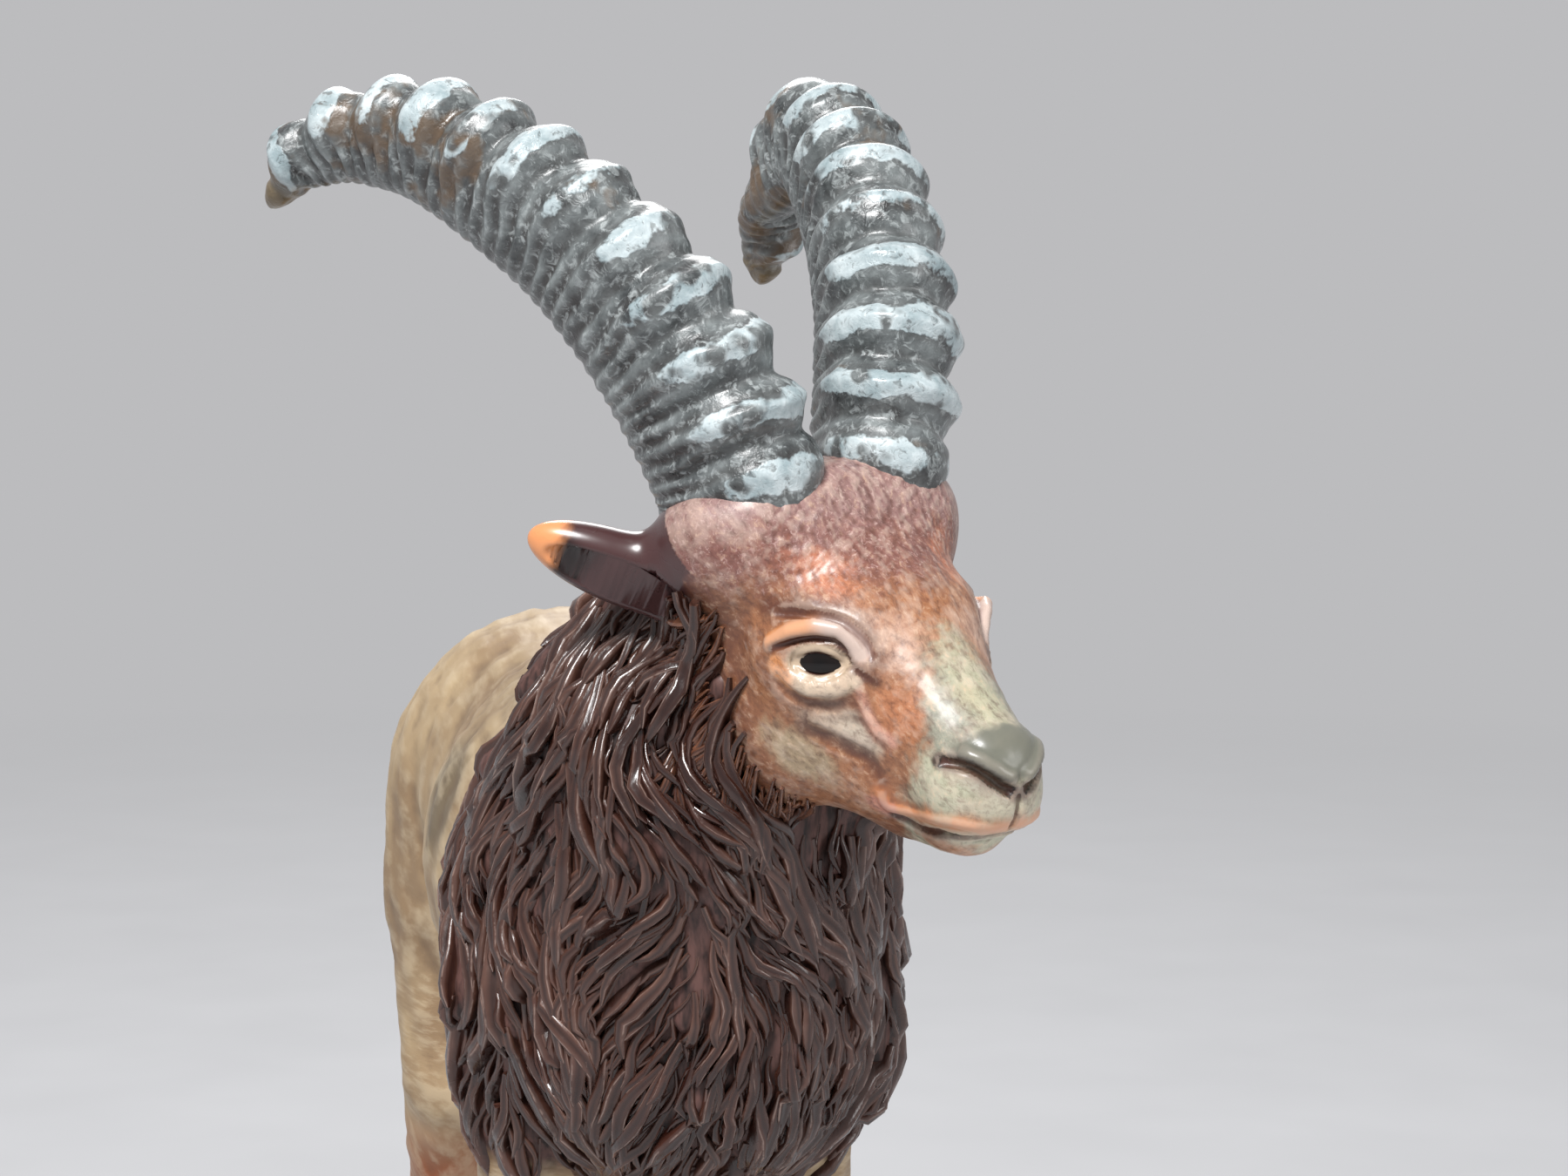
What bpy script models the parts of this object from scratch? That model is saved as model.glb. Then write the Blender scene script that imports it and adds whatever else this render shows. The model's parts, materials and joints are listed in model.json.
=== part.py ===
"""Standing ibex goat figurine, moulded in one piece, with ridged horns and a shaggy mane.

Metres, +Z up. The goat stands on four flat hooves with its chest towards -Y and its
left side towards +X. Its head is turned to its left and raised. The origin is on the
ground, under the centre of the whole figurine's box.
"""

import math

import bmesh
import bpy
import numpy as np
from mathutils import Matrix, Vector

MM = 0.001

# Body and legs
WITHERS_HEIGHT = 70.0 * MM
CHEST_HALF_WIDTH = 11.6 * MM
BELLY_HALF_WIDTH = 11.4 * MM
CROUP_HALF_WIDTH = 11.6 * MM
SHOULDER_TO_HIP = 50.0 * MM
TORSO_HALF_DEPTH = 14.5 * MM
FORELEG_Y = -14.0 * MM
LEG_SPREAD = 8.2 * MM
KNEE_HEIGHT = 20.0 * MM
KNEE_RADIUS = 3.0 * MM
HOCK_HEIGHT = 22.0 * MM
HOCK_RADIUS = 3.0 * MM
SHANK_RADIUS = 2.2 * MM
HOOF_LENGTH = 7.4 * MM
HOOF_HALF_WIDTH = 2.9 * MM
HOOF_HEIGHT = 5.0 * MM
TAIL_LENGTH = 9.0 * MM

# Head: its place is the point between the eyes
HEAD_AT = (9.3 * MM, -39.4 * MM, 74.4 * MM)
HEAD_TURN = 24.0
HEAD_TILT = 3.0
FACE_SLOPE = 35.0
SKULL_HALF_WIDTH = 6.3 * MM
MUZZLE_LENGTH = 13.4 * MM
MUZZLE_HALF_WIDTH = 3.1 * MM
EAR_LENGTH = 12.4 * MM
EAR_HALF_WIDTH = 2.35 * MM
EAR_HALF_THICKNESS = 1.9 * MM
EAR_WALL = 1.0 * MM

# Horns
HORN_BASE_RADIUS = 5.0 * MM
HORN_TIP_RADIUS = 1.35 * MM
HORN_TAPER = 2.2
HORN_OVAL = 0.16
HORN_RIDGES = 13
RIDGE_HEIGHT = 1.1 * MM
WRINKLE_HEIGHT = 0.22 * MM

# Mane: rows of locks that hang from the back of the head down to the chest
LOCK_ROWS = 8
LOCKS_PER_ROW = 18
LOCK_LENGTH = 10.5 * MM
LOCK_HALF_WIDTH = 2.0 * MM
LOCK_HEIGHT = 1.3 * MM
LOCK_FAN = 0.6
LOCK_WAVE = 0.2

# Fineness of the sculpted skin, and how far off a form still matters
FAR = 1.5 * MM
SKIN_VOXEL = 0.45 * MM
SKIN_TRIANGLES = 11400
SEED = 7


class Frame:
    """A place and three directions: forward, left and up."""

    def __init__(self, origin, turn=0.0, slope=0.0, tilt=0.0):
        turn, slope, tilt = (math.radians(angle) for angle in (turn, slope, tilt))
        ahead = np.array((math.sin(turn), -math.cos(turn), 0.0))
        left = np.array((math.cos(turn), math.sin(turn), 0.0))
        up = np.array((0.0, 0.0, 1.0))
        left, up = (
            math.cos(tilt) * left + math.sin(tilt) * up,
            math.cos(tilt) * up - math.sin(tilt) * left,
        )
        ahead, up = (
            math.cos(slope) * ahead - math.sin(slope) * up,
            math.cos(slope) * up + math.sin(slope) * ahead,
        )
        self.origin = np.array(origin, float)
        self.axes = np.array((ahead, left, up))

    def at(self, ahead, left, up):
        return self.origin + np.array((ahead, left, up), float) @ self.axes

    def along(self, ahead, left, up):
        return np.array((ahead, left, up), float) @ self.axes


HEAD = Frame(HEAD_AT, turn=HEAD_TURN, tilt=HEAD_TILT)
FACE = Frame(HEAD_AT, turn=HEAD_TURN, tilt=HEAD_TILT, slope=FACE_SLOPE)


def unit(vector):
    return vector / np.maximum(np.linalg.norm(vector, axis=-1, keepdims=True), 1e-12)


class Ball:
    """An ellipsoid. Its radii run along a frame's three directions."""

    def __init__(self, centre, radii, axes=np.eye(3)):
        self.centre = np.array(centre, float)
        self.radii = np.array(radii, float)
        self.axes = np.array(axes, float)
        half = np.sqrt(((self.axes * self.radii[:, None]) ** 2).sum(axis=0))
        self.low, self.high = self.centre - half, self.centre + half

    def distance(self, points):
        local = (points - self.centre) @ self.axes.T
        near = np.linalg.norm(local / self.radii, axis=1)
        slope = np.linalg.norm(local / self.radii**2, axis=1)
        return near * (near - 1.0) / np.maximum(slope, 1e-9)

    def rough(self, mesh):
        place = Matrix.Translation(self.centre) @ Matrix(self.axes.T * self.radii).to_4x4()
        bmesh.ops.create_icosphere(mesh, subdivisions=3, radius=1.0, matrix=place)


class Limb:
    """A chain of round cones through points, each with its radius. It can be slimmer along X."""

    def __init__(self, *stations, slim=1.0):
        self.points = np.array([point for point, radius in stations], float)
        self.radii = np.array([radius for point, radius in stations], float)
        self.slim = np.array((slim, 1.0, 1.0))
        self.low = (self.points - self.radii[:, None]).min(axis=0)
        self.high = (self.points + self.radii[:, None]).max(axis=0)

    def distance(self, points):
        best = np.full(len(points), np.inf)
        for i in range(len(self.points) - 1):
            start, run = self.points[i], self.points[i + 1] - self.points[i]
            share = np.clip((points - start) @ run / (run @ run), 0.0, 1.0)
            radius = self.radii[i] + share * (self.radii[i + 1] - self.radii[i])
            away = np.linalg.norm((points - start - share[:, None] * run) / self.slim, axis=1)
            best = np.minimum(best, away - radius)
        return best

    def rough(self, mesh):
        squash = Matrix.Diagonal((*self.slim, 1.0))
        for point, radius in zip(self.points, self.radii):
            place = Matrix.Translation(point) @ squash
            bmesh.ops.create_icosphere(mesh, subdivisions=3, radius=radius, matrix=place)
        for i in range(len(self.points) - 1):
            run = Vector(self.points[i + 1] - self.points[i])
            middle = Vector(self.points[i + 1] + self.points[i]) / 2
            turn = run.to_track_quat("Z", "Y").to_matrix().to_4x4()
            bmesh.ops.create_cone(
                mesh,
                cap_ends=True,
                segments=24,
                radius1=self.radii[i],
                radius2=self.radii[i + 1],
                depth=run.length,
                matrix=Matrix.Translation(middle) @ squash @ turn,
            )


class Clay:
    """Forms pressed into one smooth lump. Each is added or carved with a soft edge.

    A lump can be a form of another. Each form is felt within reach of its box.
    """

    def __init__(self, reach=FAR):
        self.steps = []
        self.reach = reach

    @property
    def low(self):
        return np.min([form.low for form, soft, carved in self.steps], axis=0)

    @property
    def high(self):
        return np.max([form.high for form, soft, carved in self.steps], axis=0)

    def rough(self, mesh):
        for form, soft, carved in self.steps:
            if not carved:
                form.rough(mesh)

    def add(self, form, soft):
        self.steps.append((form, soft * MM, False))

    def carve(self, form, soft):
        self.steps.append((form, soft * MM, True))

    def distance(self, points):
        """Distance to the lump's surface, or FAR where no form is near."""
        total = np.full(len(points), FAR)
        for form, soft, carved in self.steps:
            low, high = form.low - soft - self.reach, form.high + soft + self.reach
            near = np.flatnonzero(((points > low) & (points < high)).all(axis=1))
            here, before = form.distance(points[near]), total[near]
            if carved:
                overlap = np.maximum(soft - np.abs(before + here), 0.0) / soft
                total[near] = np.maximum(before, -here) + overlap**2 * soft / 4
            else:
                overlap = np.maximum(soft - np.abs(before - here), 0.0) / soft
                total[near] = np.minimum(before, here) - overlap**2 * soft / 4
        return total

    def slope(self, points, here=None, step=0.05 * MM):
        """The outward direction at each point. Its distance can be given if it is known."""
        here = self.distance(points) if here is None else here
        columns = [self.distance(points + axis) - here for axis in np.eye(3) * step]
        return np.stack(columns, axis=1) / step

    def settle(self, points, rounds=4, reach=0.4 * MM):
        """Moves points onto the lump's surface, a short step at a time."""
        points = points.copy()
        for _ in range(rounds):
            here = self.distance(points)
            slope = self.slope(points, here)
            steep = np.maximum((slope**2).sum(axis=1), 0.25)
            move = np.clip(here / steep, -reach, reach)
            points -= move[:, None] * slope
        return points


def body_forms(clay):
    """Torso, hips, withers, shoulders and thighs."""
    middle = WITHERS_HEIGHT - TORSO_HALF_DEPTH
    hip_y = FORELEG_Y + SHOULDER_TO_HIP
    half = TORSO_HALF_DEPTH
    clay.add(
        Limb(
            ((0, FORELEG_Y + 2 * MM, middle), half),
            ((0, FORELEG_Y + 22 * MM, middle + 0.4 * MM), half - 1 * MM),
            ((0, hip_y - 14 * MM, middle + 1.6 * MM), half - 2 * MM),
            ((0, hip_y - 1 * MM, middle + 2.6 * MM), half - 2.6 * MM),
            slim=CHEST_HALF_WIDTH / half,
        ),
        1,
    )

    def lump(x, y, z, radii, soft):
        clay.add(Ball((x, y, z), radii), soft)

    lump(0, FORELEG_Y + 24 * MM, middle - 1 * MM, (BELLY_HALF_WIDTH, 17 * MM, 11.5 * MM), 8)
    lump(0, hip_y - 2 * MM, middle + 2.2 * MM, (CROUP_HALF_WIDTH, 13 * MM, 10.5 * MM), 8)
    lump(0, FORELEG_Y + 3 * MM, WITHERS_HEIGHT - 6 * MM, (5.5 * MM, 13 * MM, 6.5 * MM), 6)
    for side in (-1, 1):
        shoulder_x = side * (CHEST_HALF_WIDTH - 4.4 * MM)
        lump(shoulder_x, FORELEG_Y, middle - 4 * MM, (5.2 * MM, 8 * MM, 13 * MM), 5)
        thigh_x = side * (CROUP_HALF_WIDTH - 5.0 * MM)
        lump(thigh_x, hip_y - 1 * MM, middle - 4 * MM, (5.4 * MM, 9 * MM, 13 * MM), 6)


def leg_forms(clay):
    """Four legs, from inside the body down to the hooves."""
    hip_y = FORELEG_Y + SHOULDER_TO_HIP
    middle = WITHERS_HEIGHT - TORSO_HALF_DEPTH
    for side in (-1, 1):
        x = side * LEG_SPREAD
        inner_x = x - side * 1.6 * MM
        fore = Limb(
            ((inner_x, FORELEG_Y, middle - 8 * MM), 5.2 * MM),
            ((x, FORELEG_Y + 1.5 * MM, KNEE_HEIGHT + 12 * MM), 3.9 * MM),
            ((x, FORELEG_Y - 0.6 * MM, KNEE_HEIGHT), KNEE_RADIUS),
            ((x, FORELEG_Y, HOOF_HEIGHT + 6 * MM), SHANK_RADIUS),
            ((x, FORELEG_Y - 0.8 * MM, HOOF_HEIGHT + 1 * MM), SHANK_RADIUS * 1.12),
        )
        clay.add(fore, 3)
        hind = Limb(
            ((inner_x, hip_y, middle - 7 * MM), 5.6 * MM),
            ((x, hip_y - 3 * MM, HOCK_HEIGHT + 12 * MM), 4.6 * MM),
            ((x, hip_y + 5 * MM, HOCK_HEIGHT), HOCK_RADIUS),
            ((x, hip_y + 3.6 * MM, HOOF_HEIGHT + 6 * MM), SHANK_RADIUS * 1.08),
            ((x, hip_y + 2.4 * MM, HOOF_HEIGHT + 1 * MM), SHANK_RADIUS * 1.2),
        )
        clay.add(hind, 3)
        for foot_y in (FORELEG_Y - 2.2 * MM, hip_y + 1.0 * MM):
            hoof_forms(clay, x, foot_y)


def hoof_forms(clay, x, y):
    """A cloven hoof: two toes, wider at the ground, which cut_soles makes flat."""
    toe_x = HOOF_HALF_WIDTH / 2
    for toe in (-toe_x, toe_x):
        tip = ((x + toe, y - HOOF_LENGTH * 0.2, 0.6 * MM), HOOF_HALF_WIDTH * 0.62)
        heel = ((x + toe, y + HOOF_LENGTH * 0.2, 0.6 * MM), HOOF_HALF_WIDTH * 0.62)
        top = ((x + toe * 0.8, y + 1.2 * MM, HOOF_HEIGHT), HOOF_HALF_WIDTH * 0.52)
        clay.add(Limb(tip, top), 0.7)
        clay.add(Limb(heel, top), 1.2)


def tail_forms(clay):
    """A short tail that hangs from the croup."""
    root_y = FORELEG_Y + SHOULDER_TO_HIP + 9.5 * MM
    root_z = WITHERS_HEIGHT - 9 * MM
    clay.add(
        Limb(
            ((0, root_y - 2 * MM, root_z + 2 * MM), 2.2 * MM),
            ((0, root_y + 2 * MM, root_z - 1.5 * MM), 1.9 * MM),
            ((0, root_y + 2.2 * MM, root_z - TAIL_LENGTH), 1.1 * MM),
        ),
        1.5,
    )


def neck_forms(clay):
    """Neck and chest, under the mane. The top of the neck follows the head."""
    nape = HEAD.at(-16.0 * MM, -1.0 * MM, 0.0)
    throat = HEAD.at(-18.0 * MM, -2.5 * MM, -8.5 * MM)
    clay.add(
        Limb(
            ((0, FORELEG_Y + 2 * MM, WITHERS_HEIGHT - 13 * MM), 11.0 * MM),
            ((0.5 * MM, FORELEG_Y - 5 * MM, WITHERS_HEIGHT - 7.5 * MM), 10.4 * MM),
            (throat, 9.3 * MM),
            (nape, 7.4 * MM),
        ),
        4,
    )
    clay.add(
        Limb(
            (throat, 9.3 * MM),
            ((0.4 * MM, FORELEG_Y - 6.5 * MM, WITHERS_HEIGHT - 12 * MM), 10.8 * MM),
            ((0.3 * MM, FORELEG_Y - 4.5 * MM, WITHERS_HEIGHT - 19.5 * MM), 11.0 * MM),
        ),
        4,
    )


def head_forms(clay):
    """Skull, cheeks, bridge, muzzle, lips, chin, beard, brows and eyes."""

    def lump(frame, ahead, left, up, radii, soft):
        for side in {-1, 1} if left else {1}:
            centre = frame.at(ahead * MM, side * left * MM, up * MM)
            clay.add(Ball(centre, np.array(radii) * MM, frame.axes), soft)

    def ridge(stations, soft, sides=(1,), frame=FACE):
        for side in sides:
            line = [frame.at(a * MM, side * l * MM, u * MM) for a, l, u, r in stations]
            clay.add(Limb(*zip(line, [station[3] * MM for station in stations])), soft)

    front = MUZZLE_LENGTH / MM
    width = MUZZLE_HALF_WIDTH / MM
    skull = SKULL_HALF_WIDTH / MM
    both = (-1, 1)
    lump(HEAD, -8.0, 0, 0.5, (8.2, skull + 0.4, 8.8), 2)
    hairline = [
        (-9.6, 8.4, 6.6, 1.3),
        (-7.0, 7.9, 8.0, 1.5),
        (-5.4, 6.0, 8.7, 1.6),
        (-4.9, 3.0, 9.0, 1.6),
        (-4.9, 0.0, 8.9, 1.5),
    ]
    ridge(hairline, 1.5, both, HEAD)
    lump(HEAD, -8.4, 3.6, 6.2, (6.3, skull - 0.4, 5.0), 3)
    lump(FACE, -2.5, 0, 0.2, (6.5, skull - 0.8, 4.5), 3)
    lump(HEAD, -6.2, skull - 3.0, -3.2, (6.6, 3.6, 5.8), 3)
    lump(FACE, 2.0, skull - 4.0, -4.6, (4.8, 2.4, 3.4), 2)
    ridge([(0, 0, -0.7, 4.2), (6, 0, -0.5, 3.5), (front - 3.8, 0, -0.6, width)], 3)
    ridge([(-3, 0, -6.6, 3.6), (4, 0, -5.4, 2.7), (front - 4.2, 0, -4.1, 1.9)], 2.5)
    lump(FACE, front - 2.7, 0, -1.2, (2.7, width - 0.2, 2.1), 1.5)
    lump(FACE, front - 3.0, 0, 1.0, (1.7, width - 0.8, 1.6), 1.2)
    lump(FACE, front - 3.5, width * 0.5, -1.9, (2.9, 1.7, 1.9), 1.0)
    lump(FACE, front - 3.3, 0, -4.1, (2.4, width - 0.8, 1.7), 0.9)
    ridge([(front - 4.4, 0, -5.5, 1.1), (front - 7.4, 0, -7.2, 1.3), (2.5, 0, -8.0, 1.4)], 1.5)
    upper_lid = [
        (-3.4, skull - 0.1, -0.3, 0.8),
        (-1.0, skull + 0.1, 0.5, 0.9),
        (1.4, skull - 0.9, 0.1, 0.7),
    ]
    ridge(upper_lid, 0.6, both)
    lump(FACE, -1.0, skull - 1.2, -1.4, (1.9, 1.9, 1.3), 0.3)
    lower_lid = [
        (-2.9, skull - 0.1, -2.7, 0.6),
        (-0.9, skull + 0.1, -3.2, 0.7),
        (1.5, skull - 0.9, -2.6, 0.6),
    ]
    ridge(lower_lid, 0.6, both)


def ear_forms(clay):
    """Two cupped leaf-shaped ears that stand out sideways."""
    for side in (-1, 1):
        base = HEAD.at(-9.2 * MM, side * 5.6 * MM, 2.8 * MM)
        run = unit(HEAD.along(-6.4, side * 9.8, 5.0))
        mouth = HEAD.along(0.75, side * 0.35, -0.50)
        mouth = unit(mouth - (mouth @ run) * run)
        axes = np.array((run, np.cross(mouth, run), mouth))
        middle = base + run * EAR_LENGTH * 0.5
        radii = np.array((EAR_LENGTH * 0.52, EAR_HALF_WIDTH, EAR_HALF_THICKNESS))
        clay.add(Ball(middle, radii, axes), 1.5)
        clay.add(Limb((base - run * 2 * MM, 2.0 * MM), (base + run * 3 * MM, 1.7 * MM)), 1.2)
        hollow = radii - np.array((1.25 * MM, EAR_WALL, -0.3 * MM))
        clay.carve(Ball(middle + mouth * 1.7 * MM + run * 0.2 * MM, hollow, axes), 0.35)


def smooth_path(points, count):
    """A Catmull-Rom curve through points, sampled evenly by parameter."""
    points = np.array(points, float)
    ends = np.vstack((2 * points[0] - points[1], points, 2 * points[-1] - points[-2]))
    share = np.linspace(0, len(points) - 1 - 1e-9, count)
    i = share.astype(int)
    t = (share - i)[:, None]
    a, b, c, d = (ends[i + k] for k in range(4))
    return 0.5 * (2 * b + (c - a) * t + (2 * a - 5 * b + 4 * c - d) * t**2 + (3 * b - a - 3 * c + d) * t**3)


# Each horn's centre line in the head's frame, in millimetres: ahead, outwards, up
HORN_ROOT = (
    (-8.4, 4.8, 7.2),
    (-8.3, 5.4, 11.0),
    (-10.7, 8.0, 18.4),
    (-16.0, 11.0, 25.3),
    (-24.6, 14.2, 30.6),
)
RIGHT_HORN_LINE = HORN_ROOT + ((-31.0, 16.0, 31.8), (-35.6, 17.7, 31.0), (-39.2, 19.0, 28.0))
LEFT_HORN_LINE = HORN_ROOT + ((-31.0, 16.0, 28.9), (-35.6, 17.7, 25.6), (-38.8, 19.0, 21.4))


def horn_surface(line, side, rings, sectors):
    """Points on a horn, ring by ring, from its root to its tip."""
    path = smooth_path([HEAD.at(a * MM, side * o * MM, u * MM) for a, o, u in line], rings)
    run = unit(np.gradient(path, axis=0))
    length = np.concatenate(((0,), np.cumsum(np.linalg.norm(np.diff(path, axis=0), axis=1))))
    share = length / length[-1]
    front = unit(HEAD.along(0.75, -side * 0.12, 0.65))
    front = unit(front - (run @ front)[:, None] * run)
    across = np.cross(run, front)
    angle = np.linspace(0, 2 * math.pi, sectors, endpoint=False)
    slim = HORN_BASE_RADIUS + (HORN_TIP_RADIUS - HORN_BASE_RADIUS) * share**HORN_TAPER
    tip = np.sqrt(np.clip((1.0 - share) / 0.035, 0.0, 1.0))
    share, angle = np.meshgrid(share, angle, indexing="ij")
    facing = np.cos(angle)
    phase = share**0.93 * HORN_RIDGES - 0.12 * (1 - facing)
    knob = (0.5 + 0.5 * np.cos(2 * math.pi * phase)) ** 0.8
    reach = np.clip((facing + 0.45) / 1.1, 0.0, 1.0) ** 1.2
    wrinkle = np.cos(2 * math.pi * phase * 3.0 + 1.5 * np.sin(angle * 2))
    fade = np.clip(share / 0.12, 0.0, 1.0) * np.clip((1.0 - share) / 0.1, 0.15, 1.0)
    relief = fade * (RIDGE_HEIGHT * knob * reach + WRINKLE_HEIGHT * wrinkle * (1 - 0.7 * reach))
    radius = slim[:, None] * (1.0 + HORN_OVAL * np.cos(2 * angle)) + relief - 0.4 * RIDGE_HEIGHT
    radius = radius * tip[:, None]
    spoke = facing[..., None] * front[:, None] + np.sin(angle)[..., None] * across[:, None]
    return path[:, None] + radius[..., None] * spoke


def add_horn(mesh, line, side, rings=150, sectors=32):
    """A closed loft through a horn's rings."""
    surface = horn_surface(line, side, rings, sectors)
    loops = [[mesh.verts.new(point) for point in ring] for ring in surface[:-1]]
    for low, high in zip(loops, loops[1:]):
        for i in range(sectors):
            j = (i + 1) % sectors
            mesh.faces.new((low[i], low[j], high[j], high[i]))
    mesh.faces.new(loops[0][::-1])
    mesh.faces.new(loops[-1])


def mane_weight(points, head):
    """1 where the mane is, fading to 0 towards the face, the back and the legs."""
    face = (points - HEAD.origin) @ HEAD.axes.T / MM
    cheek_edge = -9.0 - 0.7 * (face[:, 2] + 6.5)
    behind_cheeks = np.clip((cheek_edge - face[:, 0]) / 2.5, 0.0, 1.0)
    off_the_head = np.clip(head.distance(points) / (1.2 * MM), 0.0, 1.0)
    back_edge = FORELEG_Y + 6 * MM - 0.45 * (points[:, 2] - WITHERS_HEIGHT)
    over_shoulders = np.clip((back_edge - points[:, 1]) / (7 * MM), 0.0, 1.0)
    chest_bottom = WITHERS_HEIGHT - 2 * TORSO_HALF_DEPTH - 3 * MM
    above_legs = np.clip((points[:, 2] - chest_bottom) / (5 * MM), 0.0, 1.0)
    below_horns = np.clip((4.5 - face[:, 2]) / 2.0, 0.0, 1.0)
    return np.maximum(behind_cheeks, off_the_head) * over_shoulders * above_legs * below_horns


def smooth_noise(points, size, seed):
    """A soft random number of about -1 to 1 over space. Its bumps are about size apart."""
    random = np.random.default_rng(seed)
    total = np.zeros(len(points))
    waves = 14
    for _ in range(waves):
        wave = unit(random.normal(size=3)) * random.uniform(0.7, 1.5) / size
        total += np.sin(2 * math.pi * (points @ wave) + random.uniform(0, 2 * math.pi))
    return total / math.sqrt(2 * waves)


def lie_of_the_mane(points, outward):
    """Which way the hair falls at each point: down, swept aside in broad fans."""
    fall = np.array((0.0, 0.12, -1.0))
    down = unit(fall - outward * (outward @ fall)[:, None])
    aside = np.cross(outward, down)
    sweep = LOCK_FAN * smooth_noise(points, LOCK_LENGTH * 1.4, SEED)
    return unit(down + sweep[:, None] * aside), aside


def lock_roots(skin, random):
    """Points in staggered rings round the neck, dropped onto it from outside."""
    crown = HEAD.at(-13 * MM, -1.5 * MM, 3 * MM)
    foot = np.array((0.5 * MM, FORELEG_Y - 6 * MM, WITHERS_HEIGHT - 2 * TORSO_HALF_DEPTH))
    reach = 2 * CHEST_HALF_WIDTH
    roots, outs = [], []
    for row in range(LOCK_ROWS):
        middle = crown + (foot - crown) * row / (LOCK_ROWS - 1)
        for i in range(LOCKS_PER_ROW):
            share = (i + 0.5 * (row % 2) + random.uniform(-0.3, 0.3)) / LOCKS_PER_ROW
            angle = 2 * math.pi * share
            out = np.array((math.cos(angle), math.sin(angle), 0.0))
            lift = random.uniform(-0.15, 0.15) * LOCK_LENGTH
            roots.append(middle + np.array((0, 0, lift)) + out * reach)
            outs.append(out)
    points, outs = np.array(roots), np.array(outs)
    for _ in range(40):
        points -= np.maximum(skin.distance(points), 0.0)[:, None] * outs
    points = skin.settle(points)
    return points[skin.distance(points) < 0.1 * MM]


def mane_forms(clay):
    """Tongue-shaped locks that follow the lie of the mane, each proud of the neck at its tip."""
    random = np.random.default_rng(SEED)
    skin = press(neck_forms, body_forms, head_forms)
    points = lock_roots(skin, random)
    sway = random.uniform(0, 2 * math.pi, len(points))
    lengths = LOCK_LENGTH * random.uniform(0.75, 1.25, len(points))
    widths = LOCK_HALF_WIDTH * random.uniform(0.75, 1.2, len(points))
    heights = LOCK_HEIGHT * random.uniform(0.7, 1.15, len(points))
    steps = 6
    line, normals = [], []
    for step in range(steps):
        outward = unit(skin.slope(points))
        line.append(points)
        normals.append(outward)
        along, aside = lie_of_the_mane(points, outward)
        turn = LOCK_WAVE * np.sin(sway + step)
        points = points + unit(along + turn[:, None] * aside) * (lengths / (steps - 1))[:, None]
        points = skin.settle(points, rounds=2)
    line, normals = np.stack(line, axis=1), np.stack(normals, axis=1)
    head = press(head_forms)
    grown = np.maximum(mane_weight(line[:, 1], head), mane_weight(line[:, 4], head))
    locks = Clay(reach=LOCK_HEIGHT)
    share = np.linspace(0, 1, steps)
    swell = (0.5 + 0.6 * share) * np.clip((1.1 - share) / 0.4, 0, 1) ** 0.6
    for i in np.flatnonzero(grown > 0.3):
        radius = widths[i] * swell
        proud = heights[i] * (0.25 + 0.75 * share)
        centres = line[i] - normals[i] * (radius - proud)[:, None]
        locks.add(Limb(*zip(centres, radius)), 0.5)
    clay.add(locks, 0.5)


def press(*makers):
    """One lump of clay from several groups of forms."""
    clay = Clay()
    for make in makers:
        make(clay)
    return clay


def rough_skin(clay):
    """All forms and horns as one fine mesh of even faces, without inner walls."""
    shell = bmesh.new()
    clay.rough(shell)
    add_horn(shell, RIGHT_HORN_LINE, -1)
    add_horn(shell, LEFT_HORN_LINE, 1)
    mesh = bpy.data.meshes.new("rough")
    shell.to_mesh(mesh)
    shell.free()
    rough = bpy.data.objects.new("rough", mesh)
    bpy.context.scene.collection.objects.link(rough)
    remesh = rough.modifiers.new("even", "REMESH")
    remesh.mode = "VOXEL"
    remesh.voxel_size = SKIN_VOXEL
    graph = bpy.context.evaluated_depsgraph_get()
    skin = bpy.data.meshes.new_from_object(rough.evaluated_get(graph))
    bpy.data.objects.remove(rough)
    return skin


def horn_clearance(points):
    """Distance to the nearer horn's centre line, less its radius there."""
    best = np.full(len(points), np.inf)
    for line, side in ((RIGHT_HORN_LINE, -1), (LEFT_HORN_LINE, 1)):
        path = smooth_path([HEAD.at(a * MM, side * o * MM, u * MM) for a, o, u in line], 40)
        share = np.linspace(0, 1, len(path))
        radius = HORN_BASE_RADIUS + (HORN_TIP_RADIUS - HORN_BASE_RADIUS) * share**HORN_TAPER
        for centre, size in zip(path, radius):
            best = np.minimum(best, np.linalg.norm(points - centre, axis=1) - size)
    return best


def relax(points, edges, free, rounds):
    """Evens out the free points: each moves half way to the middle of its neighbours."""
    ends = np.concatenate((edges[:, 0], edges[:, 1]))
    others = np.concatenate((edges[:, 1], edges[:, 0]))
    count = np.bincount(ends, minlength=len(points))[:, None]
    for _ in range(rounds):
        middle = [np.bincount(ends, points[others, axis], len(points)) for axis in range(3)]
        middle = np.stack(middle, axis=1) / count
        points[free] = (points[free] + middle[free]) / 2


def sculpt(mesh, clay):
    """Settles the skin onto the clay, away from the horns."""
    points = np.empty(len(mesh.vertices) * 3)
    mesh.vertices.foreach_get("co", points)
    points = points.reshape(-1, 3)
    edges = np.empty(len(mesh.edges) * 2, int)
    mesh.edges.foreach_get("vertices", edges)
    edges = edges.reshape(-1, 2)
    free = horn_clearance(points) > RIDGE_HEIGHT
    relax(points, edges, free, 6)
    points[free] = clay.settle(points[free])
    relax(points, edges, free, 3)
    points[free] = clay.settle(points[free], rounds=2)
    mesh.vertices.foreach_set("co", points.ravel())
    mesh.update()


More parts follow.
